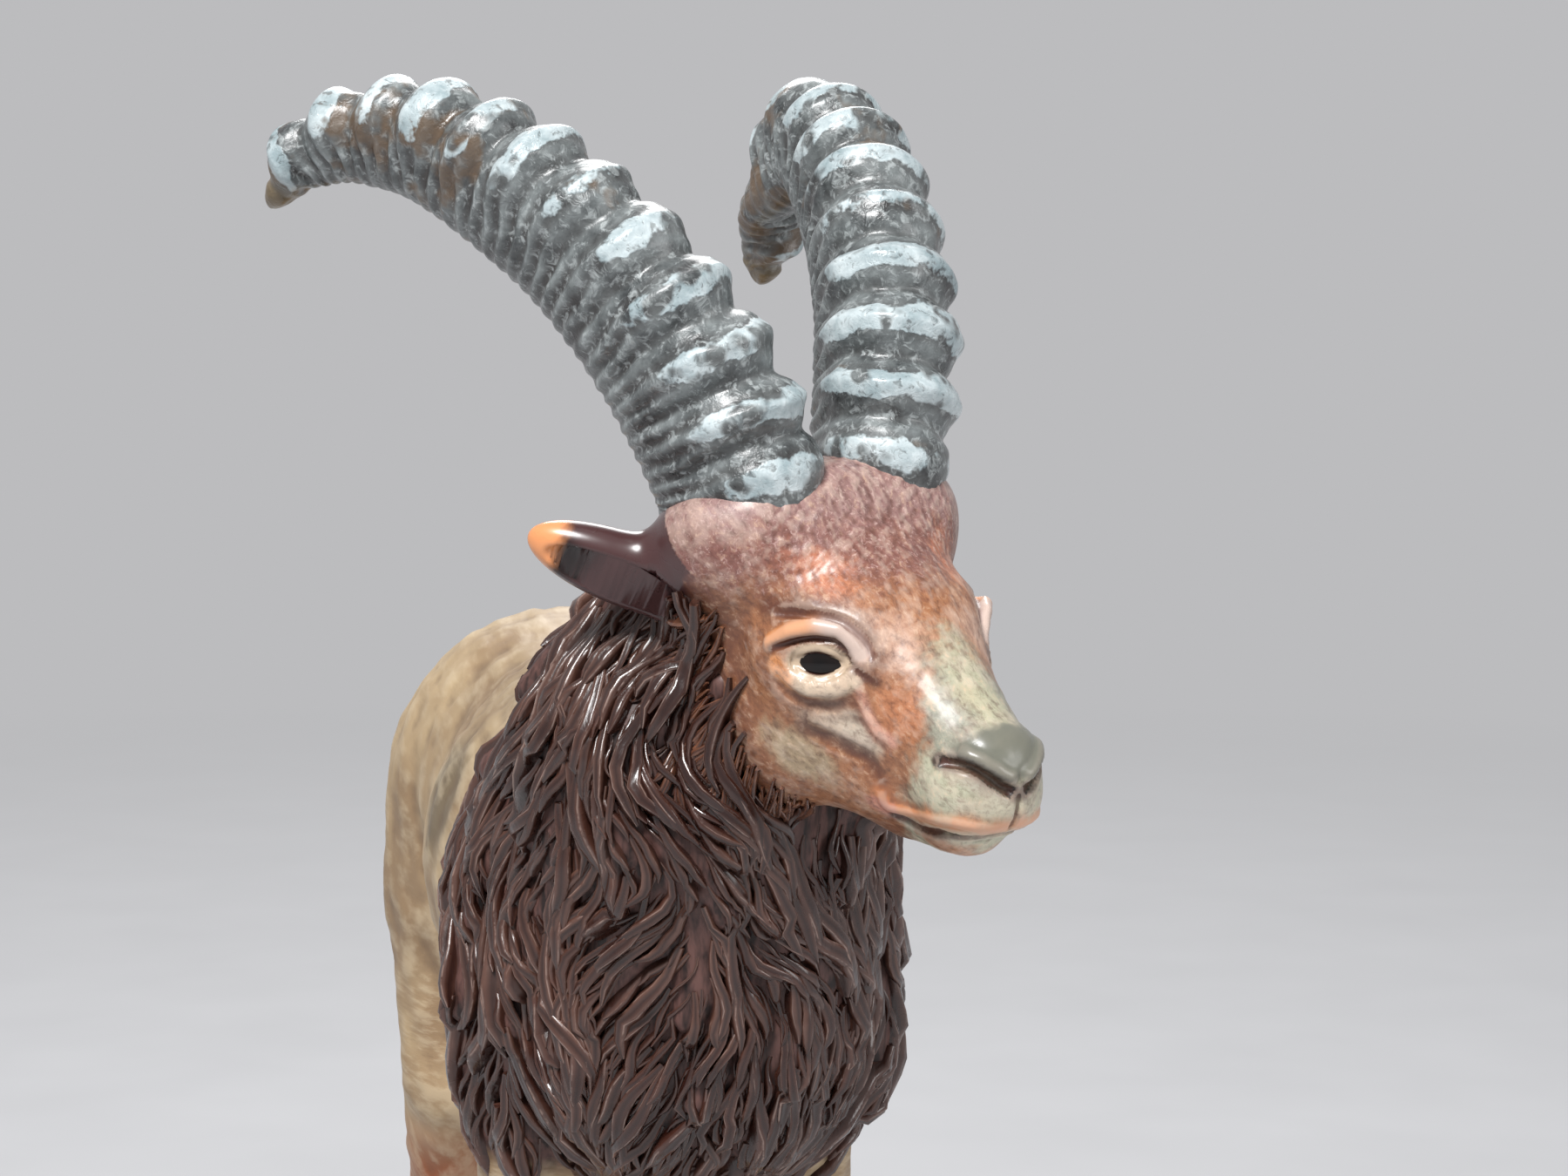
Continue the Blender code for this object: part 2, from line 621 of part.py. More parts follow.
def keep_outer_skin(shell):
    """Deletes everything but the largest connected surface."""
    unseen, islands = set(shell.verts), []
    while unseen:
        queue, island = [unseen.pop()], []
        while queue:
            vertex = queue.pop()
            island.append(vertex)
            for edge in vertex.link_edges:
                other = edge.other_vert(vertex)
                if other in unseen:
                    unseen.discard(other)
                    queue.append(other)
        islands.append(island)
    islands.sort(key=len)
    for island in islands[:-1]:
        bmesh.ops.delete(shell, geom=island, context="VERTS")


def cut_soles(shell):
    """Cuts the hooves flat at the ground and closes them."""
    geometry = shell.verts[:] + shell.edges[:] + shell.faces[:]
    cut = bmesh.ops.bisect_plane(
        shell, geom=geometry, plane_co=(0, 0, 0), plane_no=(0, 0, -1), clear_outer=True
    )
    rim = [item for item in cut["geom_cut"] if isinstance(item, bmesh.types.BMEdge)]
    bmesh.ops.holes_fill(shell, edges=rim, sides=0)


def main():
    for old in list(bpy.data.objects):
        bpy.data.objects.remove(old)
    collection = bpy.data.collections.new("Goat figurine")
    bpy.context.scene.collection.children.link(collection)
    clay = press(body_forms, leg_forms, tail_forms, neck_forms, mane_forms, head_forms, ear_forms)
    mesh = rough_skin(clay)
    sculpt(mesh, clay)
    goat = bpy.data.objects.new("goat", mesh)
    collection.objects.link(goat)
    thin = goat.modifiers.new("thin", "DECIMATE")
    thin.ratio = SKIN_TRIANGLES / (2 * len(mesh.polygons))
    graph = bpy.context.evaluated_depsgraph_get()
    final = bpy.data.meshes.new_from_object(goat.evaluated_get(graph))
    shell = bmesh.new()
    shell.from_mesh(final)
    keep_outer_skin(shell)
    cut_soles(shell)
    bmesh.ops.triangulate(shell, faces=shell.faces[:])
    corners = np.array([vertex.co for vertex in shell.verts])
    centre = (corners.min(axis=0) + corners.max(axis=0)) / 2
    bmesh.ops.translate(shell, verts=shell.verts[:], vec=(-centre[0], -centre[1], 0))
    shell.to_mesh(final)
    shell.free()
    goat.modifiers.clear()
    goat.data = final
    bpy.data.meshes.remove(mesh)
    final.shade_smooth()
    paint = bpy.data.materials.new("painted vinyl")
    paint.use_nodes = True
    shader = paint.node_tree.nodes["Principled BSDF"]
    shader.inputs["Base Color"].default_value = (0.42, 0.24, 0.15, 1.0)
    shader.inputs["Roughness"].default_value = 0.45
    final.materials.clear()
    final.materials.append(paint)
    print("goat", len(final.polygons), "triangles, box", corners.min(axis=0), corners.max(axis=0))
    return (centre[0], centre[1], 0.0)


if __name__ == "__main__":
    main()
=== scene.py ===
# %% [markdown]
# # A goat figurine in painted vinyl
# The real object is a hand-sized ibex, cast in one piece of soft vinyl and painted by hand.
# It is seen from close by, a little above its eyes, so the face, the ridged horns and the
# shaggy mane carry the picture. This lesson models them as a sculptor would: lumps of clay
# first, then folds and hair pressed in, then paint in layers.
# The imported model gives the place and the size. Every piece here stays inside its box.

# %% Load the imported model
import json
import math

import bmesh
import bpy
import numpy as np
from mathutils import Matrix, Vector

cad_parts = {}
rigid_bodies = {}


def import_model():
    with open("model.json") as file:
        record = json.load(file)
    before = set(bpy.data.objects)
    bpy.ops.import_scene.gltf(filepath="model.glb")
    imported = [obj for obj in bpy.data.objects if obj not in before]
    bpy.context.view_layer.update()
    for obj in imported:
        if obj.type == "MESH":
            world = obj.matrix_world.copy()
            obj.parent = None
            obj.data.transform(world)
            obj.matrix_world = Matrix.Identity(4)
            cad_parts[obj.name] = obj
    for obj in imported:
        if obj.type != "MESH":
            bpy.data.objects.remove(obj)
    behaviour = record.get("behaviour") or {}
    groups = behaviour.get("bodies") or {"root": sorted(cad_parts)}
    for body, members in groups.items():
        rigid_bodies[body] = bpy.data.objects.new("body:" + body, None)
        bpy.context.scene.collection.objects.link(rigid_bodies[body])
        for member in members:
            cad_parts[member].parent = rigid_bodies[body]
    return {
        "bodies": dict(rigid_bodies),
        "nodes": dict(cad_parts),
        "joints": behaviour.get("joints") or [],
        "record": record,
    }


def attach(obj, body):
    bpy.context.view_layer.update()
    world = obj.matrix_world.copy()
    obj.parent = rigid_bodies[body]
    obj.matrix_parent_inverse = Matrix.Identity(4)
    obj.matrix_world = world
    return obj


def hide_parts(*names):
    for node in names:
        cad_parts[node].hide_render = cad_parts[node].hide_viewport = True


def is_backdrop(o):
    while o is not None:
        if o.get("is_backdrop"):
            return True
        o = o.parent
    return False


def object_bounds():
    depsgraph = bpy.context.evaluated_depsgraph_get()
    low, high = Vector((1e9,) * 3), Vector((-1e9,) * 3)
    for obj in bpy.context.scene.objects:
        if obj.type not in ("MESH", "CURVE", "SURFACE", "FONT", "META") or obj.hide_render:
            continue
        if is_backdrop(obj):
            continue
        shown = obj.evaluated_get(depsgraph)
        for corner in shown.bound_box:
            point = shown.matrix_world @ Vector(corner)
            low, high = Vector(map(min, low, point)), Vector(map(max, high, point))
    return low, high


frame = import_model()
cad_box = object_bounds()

MM = 0.001
print("the packed goat's box:", [tuple(round(v, 4) for v in corner) for corner in cad_box])


def put_in_scene(name, data):
    """A new object for a mesh, curve, lamp or camera."""
    thing = bpy.data.objects.new(name, data)
    bpy.context.scene.collection.objects.link(thing)
    return thing

# %% [markdown]
# ## Directions
# The goat's head is turned to its left and its face slopes down. Working in a frame that
# turns with the head keeps left and right alike: one number serves both sides.

# %% A frame of its own for the head, the face and each eye
GOAT_AT = np.array((4.331, -0.137, 0.0)) * MM
HEAD_AT = GOAT_AT + np.array((9.3, -39.4, 74.4)) * MM
HEAD_TURN, HEAD_TILT, FACE_SLOPE = 24.0, 3.0, 35.0


class Frame:
    """A place and three directions: forward, left and up."""

    def __init__(self, origin, turn=0.0, slope=0.0, tilt=0.0):
        turn, slope, tilt = (math.radians(angle) for angle in (turn, slope, tilt))
        ahead = np.array((math.sin(turn), -math.cos(turn), 0.0))
        left = np.array((math.cos(turn), math.sin(turn), 0.0))
        up = np.array((0.0, 0.0, 1.0))
        left, up = (
            math.cos(tilt) * left + math.sin(tilt) * up,
            math.cos(tilt) * up - math.sin(tilt) * left,
        )
        ahead, up = (
            math.cos(slope) * ahead - math.sin(slope) * up,
            math.cos(slope) * up + math.sin(slope) * ahead,
        )
        self.origin = np.array(origin, float)
        self.axes = np.array((ahead, left, up))

    def at(self, ahead, left, up):
        """A point, from millimetres in this frame."""
        return self.origin + np.array((ahead, left, up), float) * MM @ self.axes

    def along(self, ahead, left, up):
        return np.array((ahead, left, up), float) @ self.axes

    def local(self, points):
        """Points in millimetres of this frame."""
        return (points - self.origin) @ self.axes.T / MM


def unit(vector):
    return vector / np.maximum(np.linalg.norm(vector, axis=-1, keepdims=True), 1e-12)


HEAD = Frame(HEAD_AT, turn=HEAD_TURN, tilt=HEAD_TILT)
FACE = Frame(HEAD_AT, turn=HEAD_TURN, tilt=HEAD_TILT, slope=FACE_SLOPE)


def eye_frame(side):
    """An eye's frame: towards the nose, outwards from the head, and up."""
    eye = Frame(HEAD.at(0.6, side * 6.05, 0.25))
    nose_ward = unit(HEAD.along(0.82, -side * 0.57, -0.06))
    outward = HEAD.along(0.57, side * 0.82, 0.0)
    outward = unit(outward - (outward @ nose_ward) * nose_ward)
    eye.axes = np.array((nose_ward, outward, np.cross(outward, nose_ward) * -side))
    return eye


EYES = {side: eye_frame(side) for side in (-1, 1)}
print("up of the two eye frames:", [EYES[side].axes[2].round(2) for side in EYES])

# %% [markdown]
# ## Clay
# A moulded figure has no hard joins: every muscle flows into the next. Ellipsoids and
# tapering limbs are blended by a smooth minimum of their distances, as clay is pressed on.
# A voxel remesh of the rough forms gives an even mesh, and its points then slide onto the
# blended surface, so the remesh only has to be roughly right.

# %% Balls, limbs and the lump that they are pressed into
FAR = 1.5 * MM


def unit_sphere(subdivisions):
    """A sphere's points and triangles."""
    shell = bmesh.new()
    bmesh.ops.create_icosphere(shell, subdivisions=subdivisions, radius=1.0)
    points = np.array([vertex.co for vertex in shell.verts])
    faces = [[vertex.index for vertex in face.verts] for face in shell.faces]
    shell.free()
    return points, faces


SPHERE_POINTS, SPHERE_FACES = unit_sphere(3)
BEAD_POINTS, BEAD_FACES = unit_sphere(2)


class Ball:
    """An ellipsoid. Its radii run along a frame's three directions."""

    def __init__(self, centre, radii, axes=np.eye(3)):
        self.centre = np.array(centre, float)
        self.radii = np.array(radii, float)
        self.axes = np.array(axes, float)
        half = np.sqrt(((self.axes * self.radii[:, None]) ** 2).sum(axis=0))
        self.low, self.high = self.centre - half, self.centre + half

    def distance(self, points):
        local = (points - self.centre) @ self.axes.T
        near = np.linalg.norm(local / self.radii, axis=1)
        slope = np.linalg.norm(local / self.radii**2, axis=1)
        return near * (near - 1.0) / np.maximum(slope, 1e-9)

    def rough(self):
        yield SPHERE_POINTS * self.radii @ self.axes + self.centre, SPHERE_FACES


class Limb:
    """A chain of round cones through points, each with its radius. It can be slimmer along X."""

    def __init__(self, *stations, slim=1.0):
        self.points = np.array([point for point, radius in stations], float)
        self.radii = np.array([radius for point, radius in stations], float)
        self.slim = np.array((slim, 1.0, 1.0))
        self.low = (self.points - self.radii[:, None]).min(axis=0)
        self.high = (self.points + self.radii[:, None]).max(axis=0)

    def distance(self, points):
        best = np.full(len(points), np.inf)
        for i in range(len(self.points) - 1):
            start, run = self.points[i], self.points[i + 1] - self.points[i]
            share = np.clip((points - start) @ run / (run @ run), 0.0, 1.0)
            radius = self.radii[i] + share * (self.radii[i + 1] - self.radii[i])
            away = np.linalg.norm((points - start - share[:, None] * run) / self.slim, axis=1)
            best = np.minimum(best, away - radius)
        return best

    def rough(self):
        for point, radius in zip(self.points, self.radii):
            if radius > 3 * MM:
                yield SPHERE_POINTS * radius * self.slim + point, SPHERE_FACES
            else:
                yield BEAD_POINTS * radius * self.slim + point, BEAD_FACES
        turns = np.linspace(0, 2 * math.pi, 24, endpoint=False)
        first, last = list(range(24)), list(range(24, 48))
        sides = [(i, (i + 1) % 24, 24 + (i + 1) % 24, 24 + i) for i in range(24)]
        for i in range(len(self.points) - 1):
            run = unit(self.points[i + 1] - self.points[i])
            across = unit(np.cross(run, (0.3, 0.9, 0.2)))
            ring = np.outer(np.cos(turns), across) + np.outer(np.sin(turns), np.cross(run, across))
            ends = [ring * self.radii[k] * self.slim + self.points[k] for k in (i, i + 1)]
            yield np.vstack(ends), sides + [first[::-1], last]


def limb_in(place, stations, side=1):
    """A limb from rows of ahead, left, up and radius in millimetres of a frame."""
    return Limb(*[(place.at(a, side * l, u), r * MM) for a, l, u, r in stations])


class Clay:
    """Forms pressed into one smooth lump. Each is added or carved with a soft edge.

    A lump can be a form of another. Each form is felt within reach of its box.
    """

    def __init__(self, *makers, reach=FAR):
        self.steps = []
        self.reach = reach
        for make in makers:
            make(self)

    @property
    def low(self):
        return np.min([form.low for form, soft, carved in self.steps], axis=0)

    @property
    def high(self):
        return np.max([form.high for form, soft, carved in self.steps], axis=0)

    def rough(self):
        for form, soft, carved in self.steps:
            if not carved:
                yield from form.rough()

    def add(self, form, soft):
        self.steps.append((form, soft * MM, False))

    def carve(self, form, soft):
        self.steps.append((form, soft * MM, True))

    def distance(self, points):
        """Distance to the lump's surface, or FAR where no form is near."""
        total = np.full(len(points), self.reach)
        for form, soft, carved in self.steps:
            low, high = form.low - soft - self.reach, form.high + soft + self.reach
            near = np.flatnonzero(((points > low) & (points < high)).all(axis=1))
            here, before = form.distance(points[near]), total[near]
            if carved:
                overlap = np.maximum(soft - np.abs(before + here), 0.0) / soft
                total[near] = np.maximum(before, -here) + overlap**2 * soft / 4
            else:
                overlap = np.maximum(soft - np.abs(before - here), 0.0) / soft
                total[near] = np.minimum(before, here) - overlap**2 * soft / 4
        return total

    def slope(self, points, here=None, step=0.03 * MM):
        """The outward direction at each point. Its distance can be given if it is known."""
        here = self.distance(points) if here is None else here
        columns = [self.distance(points + axis) - here for axis in np.eye(3) * step]
        return np.stack(columns, axis=1) / step

    def settle(self, points, rounds=4, reach=0.3 * MM):
        """Moves points onto the lump's surface, a short step at a time."""
        points = points.copy()
        for _ in range(rounds):
            here = self.distance(points)
            slope = self.slope(points, here)
            steep = np.linalg.norm(slope, axis=1)
            move = np.clip(here / np.clip(steep, 0.5, 1.0), -reach, reach)
            points -= (move / np.maximum(steep, 1.0))[:, None] * slope
        return points


# %% A skin over a lump, as arrays that are easy to sculpt
def neighbour_mean(values, edges):
    """Each point's value, averaged over the points that share an edge with it."""
    ends = np.concatenate((edges[:, 0], edges[:, 1]))
    others = np.concatenate((edges[:, 1], edges[:, 0]))
    count = np.bincount(ends, minlength=len(values))
    if values.ndim == 1:
        return np.bincount(ends, values[others], len(values)) / count
    columns = [np.bincount(ends, values[others, axis], len(values)) for axis in range(3)]
    return np.stack(columns, axis=1) / count[:, None]


class Skin:
    """A mesh in the making: its points, edges and normals as arrays."""

    def __init__(self, name, clay, voxel):
        corners, faces, count = [], [], 0
        for points, polygons in clay.rough():
            corners.append(points)
            faces += [[count + i for i in polygon] for polygon in polygons]
            count += len(points)
        mesh = bpy.data.meshes.new(name + "_rough")
        mesh.from_pydata(np.vstack(corners), [], faces)
        rough = put_in_scene(name + "_rough", mesh)
        remesh = rough.modifiers.new("even", "REMESH")
        remesh.mode = "VOXEL"
        remesh.voxel_size = voxel
        graph = bpy.context.evaluated_depsgraph_get()
        self.name = name
        self.mesh = bpy.data.meshes.new_from_object(rough.evaluated_get(graph))
        self.mesh.name = name
        bpy.data.objects.remove(rough)
        bpy.data.meshes.remove(mesh)
        self.edges = np.empty(len(self.mesh.edges) * 2, int)
        self.mesh.edges.foreach_get("vertices", self.edges)
        self.edges = self.edges.reshape(-1, 2)
        self.points = np.empty(len(self.mesh.vertices) * 3)
        self.mesh.vertices.foreach_get("co", self.points)
        self.points = self.points.reshape(-1, 3)
        for rounds, steps in ((6, 8), (3, 3)):
            self.relax(rounds)
            self.points = clay.settle(self.points, rounds=steps)

    def relax(self, rounds):
        for _ in range(rounds):
            self.points = (self.points + neighbour_mean(self.points, self.edges)) / 2

    def normals(self):
        self.mesh.vertices.foreach_set("co", self.points.ravel())
        self.mesh.update()
        normals = np.empty(len(self.points) * 3, np.float32)
        self.mesh.vertex_normals.foreach_get("vector", normals)
        return normals.reshape(-1, 3).astype(float)

    def raise_by(self, height):
        """Pushes each point out along its normal."""
        self.points = self.points + height[:, None] * self.normals()

    def hollows(self, rounds):
        """How deep each point lies below its surroundings, in millimetres."""
        around = self.points
        for _ in range(rounds):
            around = neighbour_mean(around, self.edges)
        return ((around - self.points) * self.normals()).sum(axis=1) / MM

    def finish(self, material, **layers):
        """The skin as an object, with its painted layers as attributes."""
        self.normals()
        self.mesh.shade_smooth()
        self.mesh.materials.clear()
        self.mesh.materials.append(material)
        for layer, values in layers.items():
            add_layer(self.mesh, layer, values)
        print(self.name, "has", len(self.mesh.polygons) * 2, "triangles")
        return put_in_scene(self.name, self.mesh)


def add_layer(mesh, name, values):
    """Stores one number or one vector for every point of a mesh."""
    kind, key = ("FLOAT", "value") if values.ndim == 1 else ("FLOAT_VECTOR", "vector")
    layer = mesh.attributes.new(name, kind, "POINT")
    layer.data.foreach_set(key, values.astype(np.float32).ravel())


# %% [markdown]
# ## Nodes in script
# Both the paint and the horns are node trees. A small helper adds a node, sets it and joins
# it up in one line, so that a tree reads like the sum that it works out.

# %% A helper that adds nodes to a tree
class Nodes:
    """Adds nodes to a tree. A value may be a number, a colour or another node's socket."""

    def __init__(self, tree):
        self.tree = tree

    def add(self, kind, *values, **settings):
        node = self.tree.nodes.new(kind)
        for key, value in settings.items():
            setattr(node, key, value)
        for socket, value in zip(node.inputs, values):
            self.feed(socket, value)
        return node

    def feed(self, socket, value):
        if isinstance(value, bpy.types.NodeSocket):
            self.tree.links.new(value, socket)
        elif value is not None:
            socket.default_value = value

    def math(self, operation, *values):
        return self.add("ShaderNodeMath", *values, operation=operation).outputs[0]

    def vector(self, operation, *values):
        node = self.add("ShaderNodeVectorMath", *values, operation=operation)
        return node.outputs["Value" if operation in ("LENGTH", "DOT_PRODUCT") else "Vector"]

    def scaled(self, vector, factor):
        node = self.add("ShaderNodeVectorMath", vector, operation="SCALE")
        self.feed(node.inputs["Scale"], factor)
        return node.outputs[0]

    def span(self, value, low, high, to_low=0.0, to_high=1.0):
        """Maps low..high to to_low..to_high, and stays within them."""
        node = self.add("ShaderNodeMapRange", value, low, high, to_low, to_high)
        return node.outputs[0]

    def mix(self, factor, first, second):
        """A colour between two colours."""
        node = self.tree.nodes.new("ShaderNodeMix")
        node.data_type = "RGBA"
        for i, value in ((0, factor), (6, first), (7, second)):
            self.feed(node.inputs[i], value)
        return node.outputs[2]

    def times(self, *values):
        """The product of two or more numbers."""
        total = values[0]
        for value in values[1:]:
            total = self.math("MULTIPLY", total, value)
        return total

    def noise(self, vector, scale, detail=2.0, roughness=0.5, distortion=0.0):
        node = self.tree.nodes.new("ShaderNodeTexNoise")
        names = ("Vector", "Scale", "Detail", "Roughness", "Distortion")
        for name, value in zip(names, (vector, scale, detail, roughness, distortion)):
            self.feed(node.inputs[name], value)
        return node.outputs[0]


def paint(red, green, blue):
    """A colour from a paint chart's 0 to 255, as the linear light that Blender works in."""
    chart = np.array((red, green, blue)) / 255
    linear = np.where(chart <= 0.04045, chart / 12.92, ((chart + 0.055) / 1.055) ** 2.4)
    return (*linear.tolist(), 1.0)


def shared_group(name, inputs, outputs):
    """A shader node group with named sockets, empty but for its two ends."""
    tree = bpy.data.node_groups.new(name, "ShaderNodeTree")
    for label, kind in inputs:
        tree.interface.new_socket(label, in_out="INPUT", socket_type="NodeSocket" + kind)
    for label, kind in outputs:
        tree.interface.new_socket(label, in_out="OUTPUT", socket_type="NodeSocket" + kind)
    return tree, tree.nodes.new("NodeGroupInput").outputs, tree.nodes.new("NodeGroupOutput").inputs


# %% [markdown]
# ## Paint, in layers
# A painted figurine gets a base colour, a dark wash that runs into the hollows, and a dry
# brush that leaves pale paint on whatever stands out. The dark wash is painted shade as well:
# it darkens the hollows where shade falls. Hair is far finer than the mesh, so
# it is a stretched noise that runs along the coat: it gives bump, and flecks to the brush.
# The three effects are node groups, as every coat of paint here needs them.

# %% Hair grain: a noise stretched along the lie of the coat
grain_group, ends, out = shared_group(
    "Hair grain",
    [("Lie", "Vector"), ("Fineness", "Float")],
    [("Strands", "Float"), ("Patches", "Float")],
)
g = Nodes(grain_group)
warp = g.noise(ends["Lie"], g.times(ends["Fineness"], 0.25), 2.0)
bent = g.vector("ADD", ends["Lie"], g.scaled(g.vector("ADD", warp, (-0.5, -0.5, -0.5)), 0.0007))
fine = g.noise(bent, ends["Fineness"], 3.0, 0.6)
coarse = g.noise(bent, g.times(ends["Fineness"], 0.45), 2.0, 0.5)
g.feed(out["Strands"], g.math("ADD", g.times(fine, 0.6), g.times(coarse, 0.4)))
g.feed(out["Patches"], g.noise(ends["Lie"], 320.0, 3.0, 0.55))

# %% Shade wash and dry brush: dark paint in the hollows, partly a wash and partly painted shade, and pale paint on the high points
shade_wash_and_brush_group, ends, out = shared_group(
    "Shade wash and dry brush",
    [
        ("Paint", "Color"),
        ("Wash", "Color"),
        ("Brush", "Color"),
        ("Hollow", "Float"),
        ("Strands", "Float"),
        ("Wash amount", "Float"),
        ("Brush amount", "Float"),
    ],
    [("Color", "Color")],
)
g = Nodes(shade_wash_and_brush_group)
grain = g.math("SUBTRACT", ends["Strands"], 0.5)
deep = g.math("SUBTRACT", ends["Hollow"], g.times(grain, 0.35))
# Dark paint in the hollows: partly a wash, partly painted shade.
shade_wash = g.times(g.span(deep, 0.0, 0.16), ends["Wash amount"])
high = g.math("SUBTRACT", g.times(grain, 0.9), ends["Hollow"])
brush = g.times(g.span(high, 0.02, 0.16), ends["Brush amount"])
shade_washed = g.mix(shade_wash, ends["Paint"], ends["Wash"])
g.feed(out["Color"], g.mix(brush, shade_washed, ends["Brush"]))

# %% Chipped edge: breaks up a mask so that its edge looks brushed by hand
chip_group, ends, out = shared_group(
    "Chipped edge",
    [("Mask", "Float"), ("Vector", "Vector"), ("Size", "Float"), ("Break", "Float")],
    [("Mask", "Float")],
)
g = Nodes(chip_group)
scale = g.math("DIVIDE", 1.0, ends["Size"])
rough = g.math("SUBTRACT", g.noise(ends["Vector"], scale, 4.0, 0.65), 0.5)
broken = g.math("ADD", ends["Mask"], g.times(rough, ends["Break"]))
g.feed(out["Mask"], g.span(broken, 0.44, 0.56))
print("shared groups:", [group.name for group in bpy.data.node_groups])


# %% A new material, with its Principled shader and the ways to read the piece
class Paint(Nodes):
    """A material in the making."""

    def __init__(self, name, roughness, coat=0.0):
        self.material = bpy.data.materials.new(name)
        self.material.use_nodes = True
        super().__init__(self.material.node_tree)
        self.shader = self.tree.nodes["Principled BSDF"]
        self.shader.inputs["Roughness"].default_value = roughness
        self.shader.inputs["Coat Weight"].default_value = coat
        self.shader.inputs["Coat Roughness"].default_value = 0.18
        self.shader.inputs["Specular IOR Level"].default_value = 0.45
        self.place = self.add("ShaderNodeTexCoord").outputs["Object"]

    def layer(self, name, vector=False):
        node = self.add("ShaderNodeAttribute", attribute_name=name)
        return node.outputs["Vector" if vector else "Fac"]

    def group(self, tree, **values):
        node = self.add("ShaderNodeGroup", node_tree=tree)
        for label, value in values.items():
            self.feed(node.inputs[label.replace("_", " ")], value)
        return node.outputs

    def surface(self, colour, roughness):
        self.feed(self.shader.inputs["Base Color"], colour)
        self.feed(self.shader.inputs["Roughness"], roughness)

    def bump(self, height, distance, strength):
        node = self.add("ShaderNodeBump")
        node.inputs["Strength"].default_value = strength
        node.inputs["Distance"].default_value = distance
        self.feed(node.inputs["Height"], height)
        self.feed(self.shader.inputs["Normal"], node.outputs[0])


# %% [markdown]
# ## The body
# The body is out of focus behind the head, tan with darker smudges, and the legs turn
# orange-brown. It is one skin from the withers to the hooves, with shallow muscle and
# tufts of coat. A mesh of half a millimetre is enough for it.

# %% Forms of the body, as far as the neck
FORELEG_Y, HIP_Y = -14.0, 36.0
MIDDLE_Z, TORSO_HALF = 55.5, 14.5
LEG_X, KNEE_Z, HOCK_Z, HOOF_Z = 8.2, 20.0, 22.0, 5.0


def spot(x, y, z):
    """A point from millimetres across, back and up, with the goat's feet at zero."""
    return GOAT_AT + np.array((x, y, z), float) * MM


def chain(*stations, slim=1.0):
    """A limb from rows of x, y, z and radius in millimetres."""
    return Limb(*[(spot(x, y, z), r * MM) for x, y, z, r in stations], slim=slim)


def body_forms(clay):
    """Barrel, withers, shoulders and haunches."""
    clay.add(
        chain(
            (0, FORELEG_Y + 2, MIDDLE_Z, TORSO_HALF),
            (0, FORELEG_Y + 22, MIDDLE_Z + 0.4, TORSO_HALF - 1),
            (0, HIP_Y - 14, MIDDLE_Z + 1.6, TORSO_HALF - 2),
            (0, HIP_Y - 1, MIDDLE_Z + 2.6, TORSO_HALF - 2.6),
            slim=0.8,
        ),
        1,
    )

    def lump(x, y, z, radii, soft):
        clay.add(Ball(spot(x, y, z), np.array(radii) * MM), soft)

    lump(0, FORELEG_Y + 24, MIDDLE_Z - 1, (11.4, 17, 11.5), 8)
    lump(0, HIP_Y - 2, MIDDLE_Z + 2.2, (11.6, 13, 10.5), 8)
    lump(0, FORELEG_Y + 3, MIDDLE_Z + 8.5, (5.5, 13, 6.5), 6)
    for side in (-1, 1):
        lump(side * 7.2, FORELEG_Y, MIDDLE_Z - 4, (5.2, 8, 13), 5)
        lump(side * 6.6, HIP_Y - 1, MIDDLE_Z - 4, (5.4, 9, 13), 6)


def leg_forms(clay):
    """Two forelegs and two hind legs, each with a cloven hoof."""
    for side in (-1, 1):
        x, inner = side * LEG_X, side * (LEG_X - 1.6)
        clay.add(
            chain(
                (inner, FORELEG_Y, MIDDLE_Z - 8, 5.2),
                (x, FORELEG_Y + 1.5, KNEE_Z + 12, 3.9),
                (x, FORELEG_Y - 0.6, KNEE_Z, 3.0),
                (x, FORELEG_Y, HOOF_Z + 6, 2.2),
                (x, FORELEG_Y - 0.8, HOOF_Z + 1, 2.46),
            ),
            3,
        )
        clay.add(
            chain(
                (inner, HIP_Y, MIDDLE_Z - 7, 5.6),
                (x, HIP_Y - 3, HOCK_Z + 12, 4.6),
                (x, HIP_Y + 5, HOCK_Z, 3.0),
                (x, HIP_Y + 3.6, HOOF_Z + 6, 2.38),
                (x, HIP_Y + 2.4, HOOF_Z + 1, 2.64),
            ),
            3,
        )
        for y in (FORELEG_Y - 2.2, HIP_Y + 1.0):
            for toe in (-1.45, 1.45):
                top = (x + toe * 0.8, y + 1.2, HOOF_Z, 1.5)
                clay.add(chain((x + toe, y - 1.48, 0.6, 1.8), top), 0.7)
                clay.add(chain((x + toe, y + 1.48, 0.6, 1.8), top), 1.2)


def tail_forms(clay):
    """A short tail that hangs close to the rump."""
    root_y, root_z = HIP_Y + 9.5, 61.0
    stations = (
        (0, root_y - 2, root_z + 2, 2.2),
        (0, root_y + 2, root_z - 1.5, 1.9),
        (0, root_y + 2.2, root_z - 9, 1.1),
    )
    clay.add(chain(*stations), 1.5)


def neck_forms(clay):
    """The neck, thick enough to carry the mane."""
    nape, throat = HEAD.at(-16.0, -1.0, 0.0), HEAD.at(-18.0, -2.5, -8.5)
    upper = Limb(
        (spot(0, FORELEG_Y + 2, 57.0), 11.0 * MM),
        (spot(0.5, FORELEG_Y - 5, 62.5), 10.4 * MM),
        (throat, 9.3 * MM),
        (nape, 7.4 * MM),
    )
    lower = Limb(
        (throat, 9.3 * MM),
        (spot(0.4, FORELEG_Y - 6.5, 58.0), 10.8 * MM),
        (spot(0.3, FORELEG_Y - 4.5, 50.5), 11.0 * MM),
    )
    clay.add(upper, 4)
    clay.add(lower, 4)


